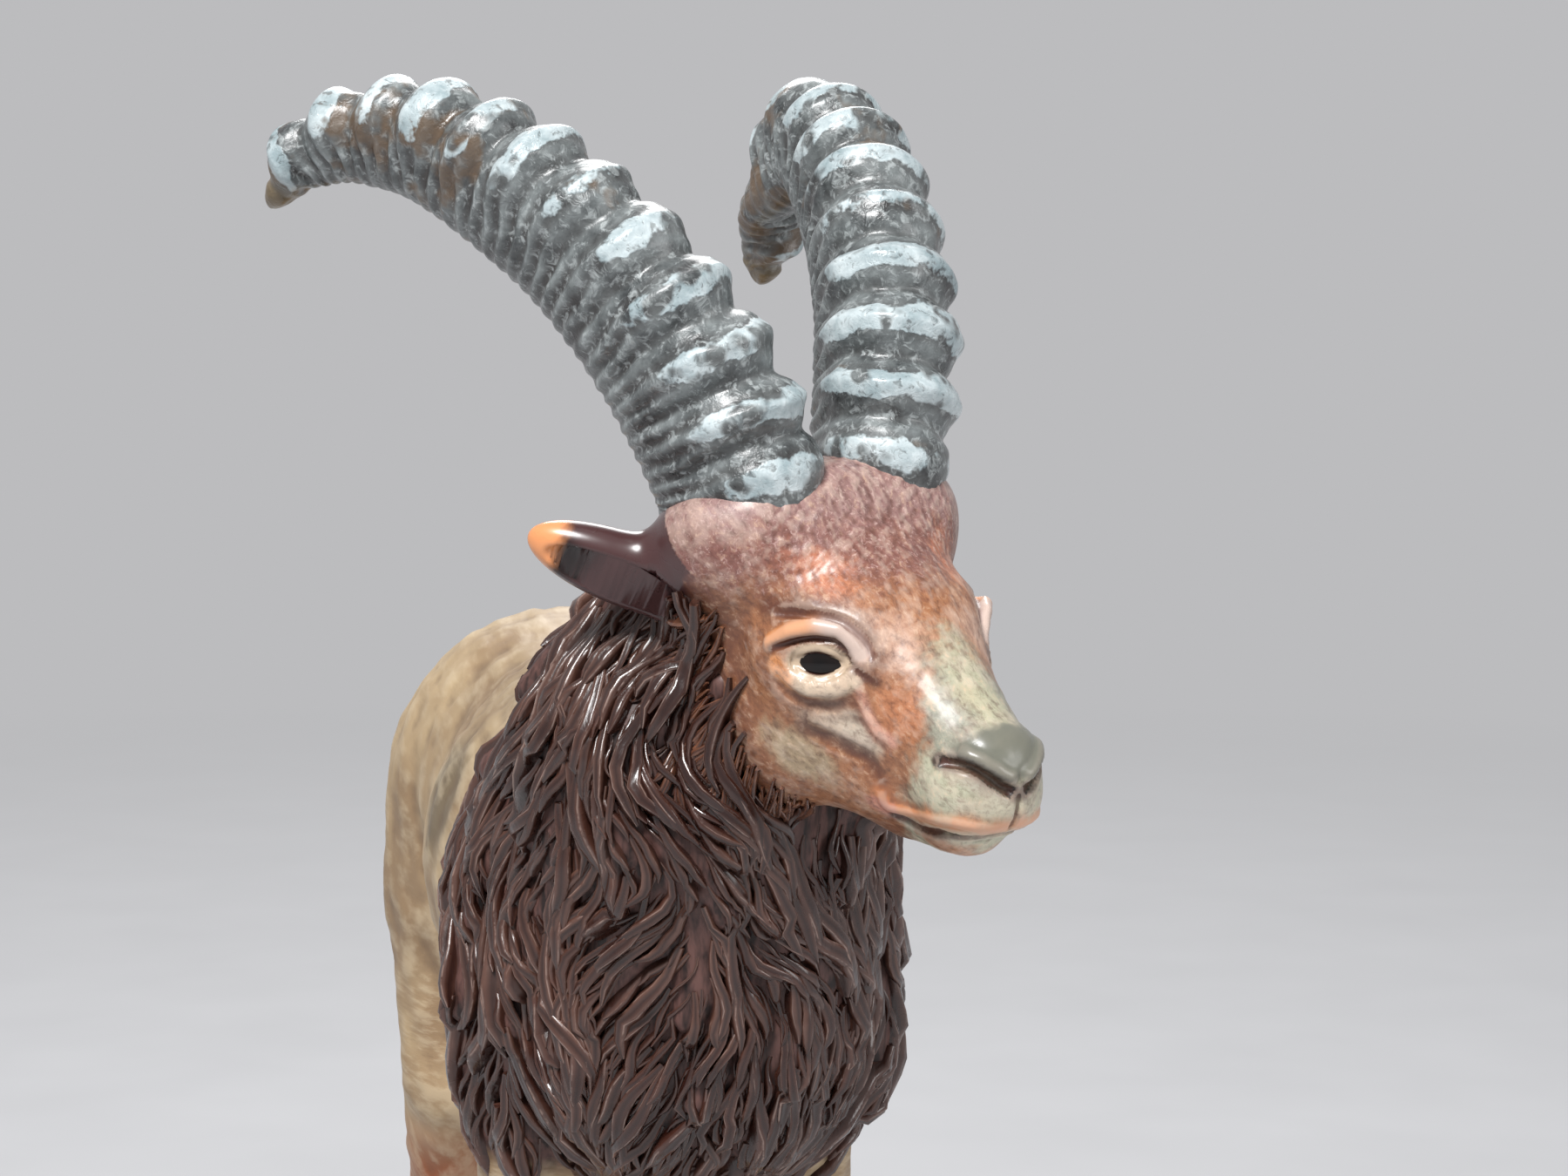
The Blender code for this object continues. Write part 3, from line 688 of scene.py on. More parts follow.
# %% Soft numbers over space
def smooth_noise(points, size, seed):
    """A soft random number from -1 to 1 over space. Its bumps are about size apart."""
    random = np.random.default_rng(seed)
    total = np.zeros(len(points))
    for _ in range(14):
        wave = unit(random.normal(size=3)) * random.uniform(0.7, 1.5) / size
        start = random.uniform(0, 2 * math.pi)
        total += np.sin(2 * math.pi * ((points - GOAT_AT) @ wave) + start)
    return total / math.sqrt(28)


def mixed_noise(points, parts, seed):
    """Soft noises of several sizes in millimetres, each with its share."""
    rows = enumerate(parts)
    return sum(smooth_noise(points, size * MM, seed + i) * share for i, (size, share) in rows)


def neck_and_chest(points):
    """1 on the neck and chest, where the mane hangs, fading to 0 on the back and the legs."""
    x, y, z = ((points - GOAT_AT) / MM).T
    before_back = np.clip((FORELEG_Y + 6 - 0.45 * (z - 70) - y) / 7, 0.0, 1.0)
    return before_back * np.clip((z - 38) / 5, 0.0, 1.0)


def band(value, low, high):
    """0 below low, 1 above high, and smooth between them."""
    share = np.clip((value - low) / (high - low), 0.0, 1.0)
    return share * share * (3 - 2 * share)


def patch(points, centre, radii):
    """1 in the middle of a soft ellipsoid and 0 outside it."""
    return band(1 - np.linalg.norm((points - centre) / np.array(radii), axis=1), 0.0, 0.6)

# %% [markdown]
# ## Horns by Geometry Nodes
# Each horn is a curve swept by a ring whose size follows a rule: it tapers, and thirteen
# ridges stand out at the front and die away round the sides, with fine wrinkles between.
# A rule like that belongs in Geometry Nodes: a flat grid is rolled up around the curve, and
# every number stays an input that can be changed. The tree keeps the ridge height as an
# attribute, because the paint needs it.

# %% What both geometry trees share
class GrowingTree(Nodes):
    """A Geometry Nodes tree with named inputs, that ends in one material."""

    def __init__(self, name, inputs, output):
        super().__init__(bpy.data.node_groups.new(name, "GeometryNodeTree"))
        for label, kind, default in inputs:
            socket = self.tree.interface.new_socket(label, in_out="INPUT", socket_type="NodeSocket" + kind)
            if default is not None:
                socket.default_value = default
        self.tree.interface.new_socket(output, in_out="OUTPUT", socket_type="NodeSocketGeometry")
        self.given = self.tree.nodes.new("NodeGroupInput").outputs

    def get(self, kind, output=0, **settings):
        """What a node without inputs knows, such as each point's place."""
        return self.add("GeometryNode" + kind, **settings).outputs[output]

    def named(self, label, kind="FLOAT"):
        node = self.add("GeometryNodeInputNamedAttribute", label, data_type=kind)
        return node.outputs["Attribute"]

    def store(self, geometry, label, value):
        """Keeps a number at every point, for the paint to read."""
        node = self.add("GeometryNodeStoreNamedAttribute", geometry, None, label, value, data_type="FLOAT")
        return node.outputs[0]

    def hand_over(self, geometry):
        whole = self.add("GeometryNodeRealizeInstances", geometry).outputs[0]
        smooth = self.add("GeometryNodeSetShadeSmooth", whole).outputs[0]
        painted = self.add("GeometryNodeSetMaterial", smooth, None, self.given["Finish"]).outputs[0]
        self.feed(self.tree.nodes.new("NodeGroupOutput").inputs[0], painted)
        print(self.tree.name, "has", len(self.tree.nodes), "nodes")


# %% The horn tree
HORN_INPUTS = (
    ("Centre line", "Geometry", None),
    ("Rings", "Int", 400),
    ("Sectors", "Int", 104),
    ("Base radius", "Float", 5.0 * MM),
    ("Tip radius", "Float", 1.35 * MM),
    ("Taper", "Float", 2.2),
    ("Oval", "Float", 0.16),
    ("Ridges", "Float", 13.0),
    ("Ridge height", "Float", 1.1 * MM),
    ("Wrinkle height", "Float", 0.2 * MM),
    ("Chips", "Float", 0.11 * MM),
    ("Front", "Vector", (0.0, -1.0, 0.0)),
    ("Seed", "Float", 3.0),
    ("Finish", "Material", None),
)
h = GrowingTree("Ridged horn", HORN_INPUTS, "Horn")
given = h.given

# The grid's own place tells how far along and how far round each point is.
grid = h.add("GeometryNodeMeshGrid", 1.0, 1.0, given["Rings"], given["Sectors"]).outputs["Mesh"]
where = h.add("ShaderNodeSeparateXYZ", h.get("InputPosition")).outputs
share = h.math("ADD", where[0], 0.5)
angle = h.times(h.math("ADD", where[1], 0.5), 2 * math.pi)
sample = h.add("GeometryNodeSampleCurve", mode="FACTOR", use_all_curves=True)
h.feed(sample.inputs["Curves"], given["Centre line"])
h.feed(sample.inputs["Factor"], share)
centre, run = sample.outputs["Position"], sample.outputs["Tangent"]
slant = h.vector("DOT_PRODUCT", given["Front"], run)
front = h.vector("NORMALIZE", h.vector("SUBTRACT", given["Front"], h.scaled(run, slant)))
across = h.vector("CROSS_PRODUCT", run, front)
facing, sideways = h.math("COSINE", angle), h.math("SINE", angle)
spoke = h.vector("ADD", h.scaled(front, facing), h.scaled(across, sideways))

# The plain horn: a taper, slightly oval, closed at both ends.
thinned = h.math("POWER", share, given["Taper"])
thinning = h.math("SUBTRACT", given["Tip radius"], given["Base radius"])
slim = h.math("MULTIPLY_ADD", thinned, thinning, given["Base radius"])
oval = h.math("MULTIPLY_ADD", h.math("COSINE", h.times(angle, 2.0)), given["Oval"], 1.0)
tip = h.math("SQRT", h.span(share, 0.965, 1.0, 1.0, 0.0))
root = h.math("SQRT", h.span(share, 0.0, 0.01))

# Ridges: high at the front, each with a height of its own, and a wandering edge.
around = h.vector("ADD", centre, h.scaled(spoke, slim))
seed_step = h.add("ShaderNodeCombineXYZ", given["Seed"], 0.0, 0.0).outputs[0]
seeded = h.vector("ADD", around, h.scaled(seed_step, 0.37))
wander = h.math("SUBTRACT", h.noise(seeded, 260.0, 2.0), 0.5)
turned = h.times(h.math("SUBTRACT", 1.0, facing), -0.12)
phase = h.times(h.math("POWER", share, 0.93), given["Ridges"])
phase = h.math("ADD", h.math("ADD", phase, turned), h.times(wander, 0.34))
wave = h.math("MULTIPLY_ADD", h.math("COSINE", h.times(phase, 2 * math.pi)), 0.5, 0.5)
knob = h.math("POWER", wave, 0.8)
reach = h.math("POWER", h.span(facing, -0.45, 0.65), 1.2)
number = h.add("ShaderNodeCombineXYZ", h.math("ROUND", phase), given["Seed"], 0.0).outputs[0]
own = h.add("ShaderNodeTexWhiteNoise", number, noise_dimensions="3D").outputs["Value"]
ridge = h.times(knob, reach, h.span(own, 0.0, 1.0, 0.8, 1.12))

# Wrinkles run round the sides and the back, three to a ridge.
oblique = h.times(h.math("SINE", h.times(angle, 2.0)), 1.5)
ripple = h.math("COSINE", h.math("ADD", h.times(phase, 6 * math.pi), oblique))
ripple = h.math("ADD", ripple, h.times(wander, 2.4))
calm_back = h.span(facing, -0.9, -0.2, 0.35, 1.0)
quiet = h.times(h.math("MULTIPLY_ADD", reach, -0.7, 1.0), calm_back)
ripple = h.times(ripple, quiet)
wrinkle = h.times(ripple, given["Wrinkle height"])
fade = h.times(h.span(share, 0.0, 0.12), h.span(share, 0.9, 1.0, 1.0, 0.15))
chips = h.times(h.math("SUBTRACT", h.noise(seeded, 900.0, 4.0, 0.6), 0.5), given["Chips"])
relief = h.times(h.math("MULTIPLY_ADD", ridge, given["Ridge height"], wrinkle), fade)
relief = h.math("ADD", relief, chips)
shrink = h.math("MULTIPLY_ADD", given["Ridge height"], -0.4, relief)
radius = h.math("MULTIPLY_ADD", slim, oval, shrink)
radius = h.times(h.times(radius, tip), root)

# The numbers that the paint reads are stored before the grid is rolled up.
kept = grid
for label, value in (("ridge", ridge), ("ripple", ripple), ("share", share)):
    kept = h.store(kept, label, value)
moved = h.add("GeometryNodeSetPosition", kept, None, h.vector("ADD", centre, h.scaled(spoke, radius)))
closed = h.add("GeometryNodeMergeByDistance", moved.outputs[0])
closed.inputs["Distance"].default_value = 0.004 * MM
h.hand_over(closed.outputs[0])

# %% The horns' paint
p = horn_paint = Paint("horn paint", 0.4, coat=0.3)
mottle = p.noise(p.place, 420.0, 4.0, 0.65)
scratch = p.noise(p.place, 1500.0, 3.0, 0.7, 0.6)
base = p.mix(p.span(mottle, 0.34, 0.66), paint(54, 57, 58), paint(130, 136, 136))
groove = p.span(p.layer("ripple"), -0.9, 0.3, 0.85, 0.0)
base = p.mix(groove, base, paint(46, 40, 38))
base = p.mix(p.span(scratch, 0.52, 0.68, 0.0, 0.75), base, paint(172, 178, 178))
rib = p.times(p.span(p.layer("ripple"), 0.7, 1.4), p.span(mottle, 0.48, 0.6), 0.6)
base = p.mix(rib, base, paint(190, 198, 200))
towards_tip = p.span(p.layer("share"), 0.3, 0.8, -0.1, 0.06)
dirt = p.math("ADD", p.noise(p.place, 240.0, 3.0, 0.6), towards_tip)
base = p.mix(p.span(dirt, 0.56, 0.64, 0.0, 0.8), base, paint(98, 78, 58))
crest = p.span(p.layer("ridge"), 0.42, 1.05)
chipped = p.group(chip_group, Mask=crest, Vector=p.place, Size=0.0032, Break=2.2)
stroke = p.times(chipped["Mask"], p.span(p.noise(p.place, 330.0, 2.0, 0.6), 0.4, 0.46))
pale = p.mix(p.span(mottle, 0.35, 0.65), paint(150, 166, 170), paint(210, 220, 222))
base = p.mix(p.times(stroke, p.span(scratch, 0.34, 0.44, 0.3, 0.95)), base, pale)
base = p.mix(p.span(p.layer("share"), 0.93, 0.97), base, paint(108, 92, 66))
p.surface(base, p.span(mottle, 0.3, 0.7, 0.26, 0.46))
p.bump(p.math("ADD", scratch, p.times(stroke, 0.35)), 0.12 * MM, 0.8)

# %% Each horn's centre line, and the horns
# Points in the head's frame: ahead, outwards and up, in millimetres from its middle.
HORN_ROOT = (
    (-8.4, 4.8, 7.2),
    (-8.3, 5.4, 11.0),
    (-10.7, 8.0, 18.4),
    (-16.0, 11.0, 25.3),
    (-24.6, 14.2, 30.6),
)
HORN_LINES = {
    "horn_right": (-1, HORN_ROOT + ((-31.0, 16.0, 31.8), (-35.6, 17.7, 31.0), (-39.2, 19.0, 28.0))),
    "horn_left": (1, HORN_ROOT + ((-31.0, 16.0, 28.9), (-35.6, 17.7, 25.6), (-38.8, 19.0, 21.4))),
}


def smooth_path(points, count):
    """A Catmull-Rom curve through points."""
    points = np.array(points, float)
    ends = np.vstack((2 * points[0] - points[1], points, 2 * points[-1] - points[-2]))
    share = np.linspace(0, len(points) - 1 - 1e-9, count)
    i = share.astype(int)
    t = (share - i)[:, None]
    a, b, c, d = (ends[i + k] for k in range(4))
    square, cube = 2 * a - 5 * b + 4 * c - d, 3 * b - a - 3 * c + d
    return 0.5 * (2 * b + (c - a) * t + square * t**2 + cube * t**3)


def grow(name, data, tree, settings):
    """Runs a node tree on some data and gives its result as a plain mesh object."""
    source = put_in_scene(name + "_source", data)
    modifier = source.modifiers.new("grow", "NODES")
    modifier.node_group = tree
    for item in tree.interface.items_tree:
        if item.name in settings:
            modifier[item.identifier] = settings[item.name]
    graph = bpy.context.evaluated_depsgraph_get()
    made = source.evaluated_get(graph)
    mesh = bpy.data.meshes.new_from_object(made, preserve_all_data_layers=True, depsgraph=graph)
    source.modifiers.remove(modifier)
    bpy.data.objects.remove(source)
    mesh.name = name
    mesh.calc_loop_triangles()
    print(name, "has", len(mesh.loop_triangles), "triangles")
    return put_in_scene(name, mesh)


def outwards(piece):
    """Turns a closed mesh's faces outwards."""
    shell = bmesh.new()
    shell.from_mesh(piece.data)
    bmesh.ops.recalc_face_normals(shell, faces=shell.faces[:])
    if shell.calc_volume(signed=True) < 0:
        bmesh.ops.reverse_faces(shell, faces=shell.faces[:])
    open_edges = sum(1 for edge in shell.edges if not edge.is_manifold)
    shell.to_mesh(piece.data)
    shell.free()
    print(piece.name, "open edges:", open_edges)


horns = []
for name, (side, line) in HORN_LINES.items():
    path = smooth_path([HEAD.at(a, side * o, u) for a, o, u in line], 120)
    curve = bpy.data.curves.new(name + "_line", "CURVE")
    curve.dimensions = "3D"
    spline = curve.splines.new("POLY")
    spline.points.add(len(path) - 1)
    spline.points.foreach_set("co", np.hstack((path, np.ones((len(path), 1)))).ravel())
    settings = {
        "Front": tuple(unit(HEAD.along(0.75, -side * 0.12, 0.65))),
        "Seed": 3.0 + side,
        "Finish": horn_paint.material,
    }
    horn = grow(name, curve, h.tree, settings)
    outwards(horn)
    horns.append(horn)

# %% [markdown]
# ## The head
# The face is what people look at, so it has the finest mesh. The lids, lips and
# nose pad are forms of their own. The thin creases are strokes, pressed along lines on the
# finished skin as with a sculpting tool.

# %% Forms of the head
SKULL, MUZZLE, WIDE = 6.3, 13.4, 3.1


def head_forms(clay):
    """Skull, hairline, cheeks, bridge, muzzle, lips, chin and beard."""

    def lump(frame, ahead, left, up, radii, soft):
        for side in {-1, 1} if left else {1}:
            clay.add(Ball(frame.at(ahead, side * left, up), np.array(radii) * MM, frame.axes), soft)

    def ridge(stations, soft, sides=(1,), frame=FACE):
        for side in sides:
            clay.add(limb_in(frame, stations, side), soft)

    lump(HEAD, -8.0, 0, 0.5, (8.2, SKULL + 0.4, 8.8), 2)
    hairline = (
        (-9.6, 8.4, 6.6, 1.3),
        (-7.0, 7.9, 8.0, 1.5),
        (-5.4, 6.0, 8.7, 1.6),
        (-4.9, 3.0, 9.0, 1.6),
        (-4.9, 0.0, 8.9, 1.5),
    )
    ridge(hairline, 1.5, (-1, 1), HEAD)
    lump(HEAD, -8.4, 3.6, 6.2, (6.3, SKULL - 0.4, 5.0), 3)
    lump(FACE, -2.5, 0, 0.2, (6.5, SKULL - 0.8, 4.5), 3)
    lump(HEAD, -6.2, SKULL - 3.0, -3.2, (6.6, 3.6, 5.8), 3)
    lump(FACE, 2.0, SKULL - 4.0, -4.6, (4.8, 2.4, 3.4), 2)
    ridge([(0, 0, -0.7, 4.2), (6, 0, -0.5, 3.5), (MUZZLE - 3.8, 0, -0.6, WIDE)], 3)
    ridge([(-3, 0, -6.6, 3.6), (4, 0, -5.4, 2.7), (MUZZLE - 4.2, 0, -4.1, 1.9)], 2.5)
    lump(FACE, MUZZLE - 2.7, 0, -1.2, (2.7, WIDE - 0.2, 2.1), 1.5)
    lump(FACE, MUZZLE - 3.0, 0, 1.0, (1.7, WIDE - 0.8, 1.6), 1.2)
    lump(FACE, MUZZLE - 3.5, WIDE * 0.5, -1.9, (2.9, 1.7, 1.9), 1.0)
    lump(FACE, MUZZLE - 3.3, 0, -4.1, (2.4, WIDE - 0.8, 1.7), 0.9)
    ridge([(MUZZLE - 4.4, 0, -5.5, 1.1), (MUZZLE - 7.4, 0, -7.2, 1.3), (2.5, 0, -8.0, 1.4)], 1.5)


EYE_HALF_LENGTH, EYE_HALF_HEIGHT = 1.75, 1.05
EYE_STRIPS = {
    "upper fold": (0.5, (
        (-3.1, -0.5, 0.9, 0.3),
        (-1.8, 0.05, 1.7, 0.45),
        (-0.2, 0.3, 2.15, 0.5),
        (1.2, 0.2, 2.0, 0.45),
        (2.1, -0.1, 1.3, 0.4),
        (2.6, -0.4, 0.6, 0.3),
    )),
    "upper lid": (0.1, (
        (-1.8, -0.4, 0.05, 0.22),
        (-1.2, 0.0, 0.64, 0.26),
        (0.0, 0.2, 0.96, 0.28),
        (1.05, 0.05, 0.7, 0.26),
        (1.7, -0.3, 0.1, 0.22),
    )),
    "lower lid": (0.1, (
        (-1.8, -0.4, -0.05, 0.22),
        (-1.1, 0.0, -0.7, 0.26),
        (0.1, 0.12, -0.96, 0.28),
        (1.1, 0.0, -0.68, 0.26),
        (1.75, -0.3, 0.0, 0.22),
    )),
    "bag under the eye": (0.6, (
        (-2.6, -0.6, -0.4, 0.25),
        (-1.8, -0.15, -1.1, 0.35),
        (-0.5, 0.1, -1.55, 0.42),
        (0.9, 0.0, -1.5, 0.4),
        (2.0, -0.35, -0.95, 0.3),
    )),
}


def eye_forms(clay):
    """Around each eye: a low mound, the socket, the thick upper fold and both lids."""
    for eye in EYES.values():
        clay.add(Ball(eye.at(-0.3, -2.6, 0.2), np.array((4.2, 2.9, 3.6)) * MM, eye.axes), 1.6)
        socket = np.array((EYE_HALF_LENGTH, 1.4, EYE_HALF_HEIGHT)) * MM
        clay.carve(Ball(eye.at(0.0, 0.3, 0.0), socket, eye.axes), 0.2)
        for soft, stations in EYE_STRIPS.values():
            clay.add(limb_in(eye, stations), soft)


EAR_MIDDLE, EAR_TIP = 6.2, 10.6


def ear_directions(side):
    """Where an ear starts, and the directions that its length and its opening point to."""
    run = unit(HEAD.along(-6.4, side * 9.8, 5.0))
    mouth = HEAD.along(0.75, side * 0.35, -0.50)
    return HEAD.at(-9.2, side * 5.6, 2.8), run, unit(mouth - (mouth @ run) * run)


def ear_forms(clay):
    """Two cupped leaf-shaped ears that stand out sideways."""
    for side in (-1, 1):
        base, run, mouth = ear_directions(side)
        axes = np.array((run, np.cross(mouth, run), mouth))
        middle = base + run * EAR_MIDDLE * MM
        clay.add(Ball(middle, np.array((6.5, 2.35, 1.9)) * MM, axes), 1.5)
        clay.add(Limb((base - run * 2 * MM, 2.0 * MM), (base + run * 3 * MM, 1.7 * MM)), 1.2)
        hollow = np.array((5.2, 1.35, 2.2)) * MM
        clay.carve(Ball(middle + mouth * 1.7 * MM + run * 0.2 * MM, hollow, axes), 0.35)


HEAD_MAKERS = (head_forms, eye_forms, ear_forms)
HEAD_VOXEL = 0.162 * MM
head_clay = Clay(*HEAD_MAKERS)
head = Skin("head", head_clay, HEAD_VOXEL)
print("head points:", len(head.points))

# %% Strokes: creases and folds along lines on the skin
# Each stroke is its height in millimetres, its half width and its points. Points of the
# face are ahead, outwards and up; points around the eye are noseward, outwards and up.
VEIN = ((2.4, 5.0, 1.0), (2.8, 4.8, 0.6), (4.1, 4.5, -0.5), (5.1, 4.3, -0.9), (6.2, 4.0, -0.9))
CHEEKBONE = ((1.2, 6.1, -2.7), (2.0, 5.9, -2.6), (3.0, 5.3, -2.5), (4.0, 4.8, -2.2), (5.3, 4.3, -2.0))
CHEEK_CREASE = (
    (1.2, 6.0, -3.5), (2.3, 5.7, -3.3), (4.0, 4.9, -3.0),
    (5.2, 4.4, -2.9), (6.4, 3.8, -3.6),
)
NOSTRIL = ((9.4, 3.3, 0.4), (11.0, 2.7, 1.2), (12.0, 2.0, 1.2), (12.7, 1.2, 0.9), (13.1, 0.4, 0.6))
NOSTRIL_EDGE = ((10.0, 2.9, 1.6), (11.1, 2.4, 1.9), (12.0, 1.7, 1.85), (12.6, 1.0, 1.6), (12.9, 0.2, 1.4))
PHILTRUM = ((13.2, 0.0, 0.6), (13.6, 0.0, -0.1), (13.7, 0.0, -1.0), (13.6, 0.0, -1.8))
LIP_EDGE = (
    (6.6, 3.7, -4.2), (7.2, 3.2, -5.1), (8.8, 2.7, -4.3),
    (10.6, 3.2, -3.0), (12.3, 2.9, -1.9), (13.6, 0.6, -1.5),
)
MOUTH = (
    (7.4, 2.6, -5.6), (9.2, 2.2, -5.2), (11.4, 2.6, -3.7),
    (12.8, 1.8, -2.9), (13.2, 0.7, -2.6), (13.4, 0.0, -2.5),
)
FACE_STROKES = (
    (0.12, 0.5, VEIN),
    (0.2, 1.2, CHEEKBONE),
    (-0.22, 0.8, CHEEK_CREASE),
    (-0.9, 0.5, NOSTRIL),
    (0.34, 0.65, NOSTRIL_EDGE),
    (-0.3, 0.32, PHILTRUM),
    (0.2, 0.5, LIP_EDGE),
    (-0.6, 0.42, MOUTH),
)
BROW = (
    (-3.5, 0.0, 2.9), (-1.95, 0.0, 3.1), (-0.26, 0.0, 3.05), (1.1, 0.0, 2.8),
    (2.05, 0.0, 2.2), (2.8, 0.0, 1.4), (3.3, 0.0, 0.3),
)
FOLD = (
    (-2.9, 0.0, 1.0), (-1.7, 0.0, 1.7), (-0.26, 0.0, 2.2),
    (1.1, 0.0, 2.1), (2.05, 0.0, 1.5), (2.5, 0.0, 0.85),
)
UNDER_FOLD = (
    (-3.0, 0.0, 0.6), (-1.5, 0.0, 1.25), (-0.26, 0.0, 1.5), (1.0, 0.0, 1.4),
    (1.7, 0.0, 0.7), (2.1, 0.0, -0.1), (2.8, 0.0, -0.6), (3.5, 0.0, -0.9),
)
LOWER_LID = (
    (-2.7, 0.0, -0.3), (-1.95, 0.0, -1.0), (-0.9, 0.0, -1.5),
    (0.37, 0.0, -1.6), (1.6, 0.0, -1.3), (2.3, 0.0, -0.8),
)
UNDER_LID = ((-2.9, 0.0, -0.9), (-1.9, 0.0, -1.9), (-0.6, 0.0, -2.3), (1.2, 0.0, -2.3), (2.2, 0.0, -1.8))
EYE_STROKES = (
    (-0.42, 0.5, BROW),
    (-0.42, 0.32, UNDER_FOLD),
    (-0.2, 0.7, UNDER_LID),
)


def near_line(points, line):
    """Distance from each point to a line through stations, and how far along it."""
    best, share = np.full(len(points), np.inf), np.zeros(len(points))
    for i in range(len(line) - 1):
        run = line[i + 1] - line[i]
        t = np.clip((points - line[i]) @ run / (run @ run), 0.0, 1.0)
        away = np.linalg.norm(points - line[i] - t[:, None] * run, axis=1)
        closer = away < best
        best[closer], share[closer] = away[closer], (i + t[closer]) / (len(line) - 1)
    return best, share


def stroke_relief(points, clay):
    """The height of all strokes at each point, in millimetres."""
    total = np.zeros(len(points))
    strokes = [(FACE, 1, row) for row in FACE_STROKES] + [(FACE, -1, row) for row in FACE_STROKES]
    strokes += [(eye, 1, row) for eye in EYES.values() for row in EYE_STROKES]
    for frame_used, side, (height, half, rows) in strokes:
        line = np.array([frame_used.at(a, side * l, u) for a, l, u in smooth_path(rows, 24)])
        line = clay.settle(line, rounds=20)
        low, high = line.min(axis=0) - half * 2 * MM, line.max(axis=0) + half * 2 * MM
        near = np.flatnonzero(((points > low) & (points < high)).all(axis=1))
        away, share = near_line(points[near], line)
        ends = np.clip(np.minimum(share, 1 - share) / 0.15, 0, 1) ** 0.5
        profile = np.clip(1 - (away / (half * MM)) ** 2, 0, 1) ** 1.5 * ends * height
        total[near] += profile
    return total


creases = stroke_relief(head.points, Clay(*HEAD_MAKERS, reach=5 * MM))
head.raise_by(creases * MM)
high = band(HEAD.local(head.points)[:, 2], 3.0, 7.5)
fur = mixed_noise(head.points, ((2.0, 0.5), (0.9, 0.35), (0.5, 0.3)), 41)
off_ears = np.abs(HEAD.local(head.points)[:, 1]) <= 7.0
head.raise_by(fur * (0.02 + 0.07 * high) * off_ears * MM)
print("strokes from", creases.min().round(2), "to", creases.max().round(2), "mm")

# %% The head's colours, laid one over another
class HeadColours:
    """The head's points as each part of the face sees them, and the colour laid so far."""

    def __init__(self, points):
        level, face = HEAD.local(points), FACE.local(points)
        right = level[:, 1] < 0
        eye = np.where(right[:, None], EYES[-1].local(points), EYES[1].local(points))
        face[:, 1], level[:, 1] = np.abs(face[:, 1]), np.abs(level[:, 1])
        self.points, self.level, self.face, self.eye = points, level, face, eye
        self.on_eye = np.clip(2.4 - np.abs(eye[:, 1]), 0, 1) * (np.abs(eye[:, 0]) < 5)
        self.ragged = mixed_noise(points, ((2.2, 0.5), (0.9, 0.4), (0.4, 0.35)), 30)
        self.colour = np.tile(paint(160, 107, 73)[:3], (len(points), 1))
        self.bare, self.gloss = np.zeros(len(points)), np.zeros(len(points))

    def lay(self, mask, chart, amount=1.0):
        share = (np.clip(mask, 0, 1) * amount)[:, None]
        self.colour = self.colour * (1 - share) + np.array(paint(*chart)[:3]) * share

    def line(self, stations, half, soft=0.5, torn=0.0):
        """1 along a line on the face and 0 away from it."""
        away = near_line(self.face, np.array(stations, float))[0] + self.ragged * torn
        return 1 - band(away, half * (1 - soft), half * (1 + soft))

    def eye_line(self, stations, half, soft, torn=0.0):
        """The same round the eye, whatever the depth."""
        flat = self.eye * np.array((1.0, 0.0, 1.0))
        away = near_line(flat, np.array(stations, float))[0] + self.ragged * torn
        return self.on_eye * (1 - band(away, half * (1 - soft), half * (1 + soft)))

    def spot(self, centre, radii):
        """1 in the middle of a ragged spot on the face and 0 outside it."""
        away = np.linalg.norm((self.face - centre) / np.array(radii), axis=1)
        return 1 - band(away + self.ragged * 0.25, 0.45, 1.1)

    def keep(self, bare=0.0, gloss=0.0):
        """Where the skin has no hair, and where it shines."""
        self.bare, self.gloss = np.maximum(self.bare, bare), np.maximum(self.gloss, gloss)


def paint_cheek_and_forehead(c):
    """Brown cheek, maroon forehead, and pale or orange spots over them."""
    ahead, height = c.face[:, 0], c.level[:, 2]
    c.lay(band(-c.level[:, 0] + c.ragged, 2.2, 7.0), (104, 62, 45), 0.85)
    c.lay(band(c.ragged, 0.1, 0.7), (140, 88, 60), 0.5)
    c.forehead = band(height + c.ragged * 0.6, 3.4, 6.0) * (1 - band(ahead, 0.0, 3.0))
    c.lay(c.forehead, (128, 84, 78), 0.9)
    c.lay(c.forehead * band(height + c.ragged, 6.5, 9.0), (156, 124, 120), 0.8)
    c.lay(c.spot((-3.0, 5.6, 4.2), (3.0, 3.0, 1.6)), (196, 120, 84), 0.7)
    c.lay(c.spot((2.0, 2.6, 2.6), (2.6, 2.6, 2.4)), (196, 160, 140), 0.75)
    c.lay(c.spot((5.6, 3.9, 0.6), (2.2, 2.4, 1.6)), (190, 124, 88), 0.6)


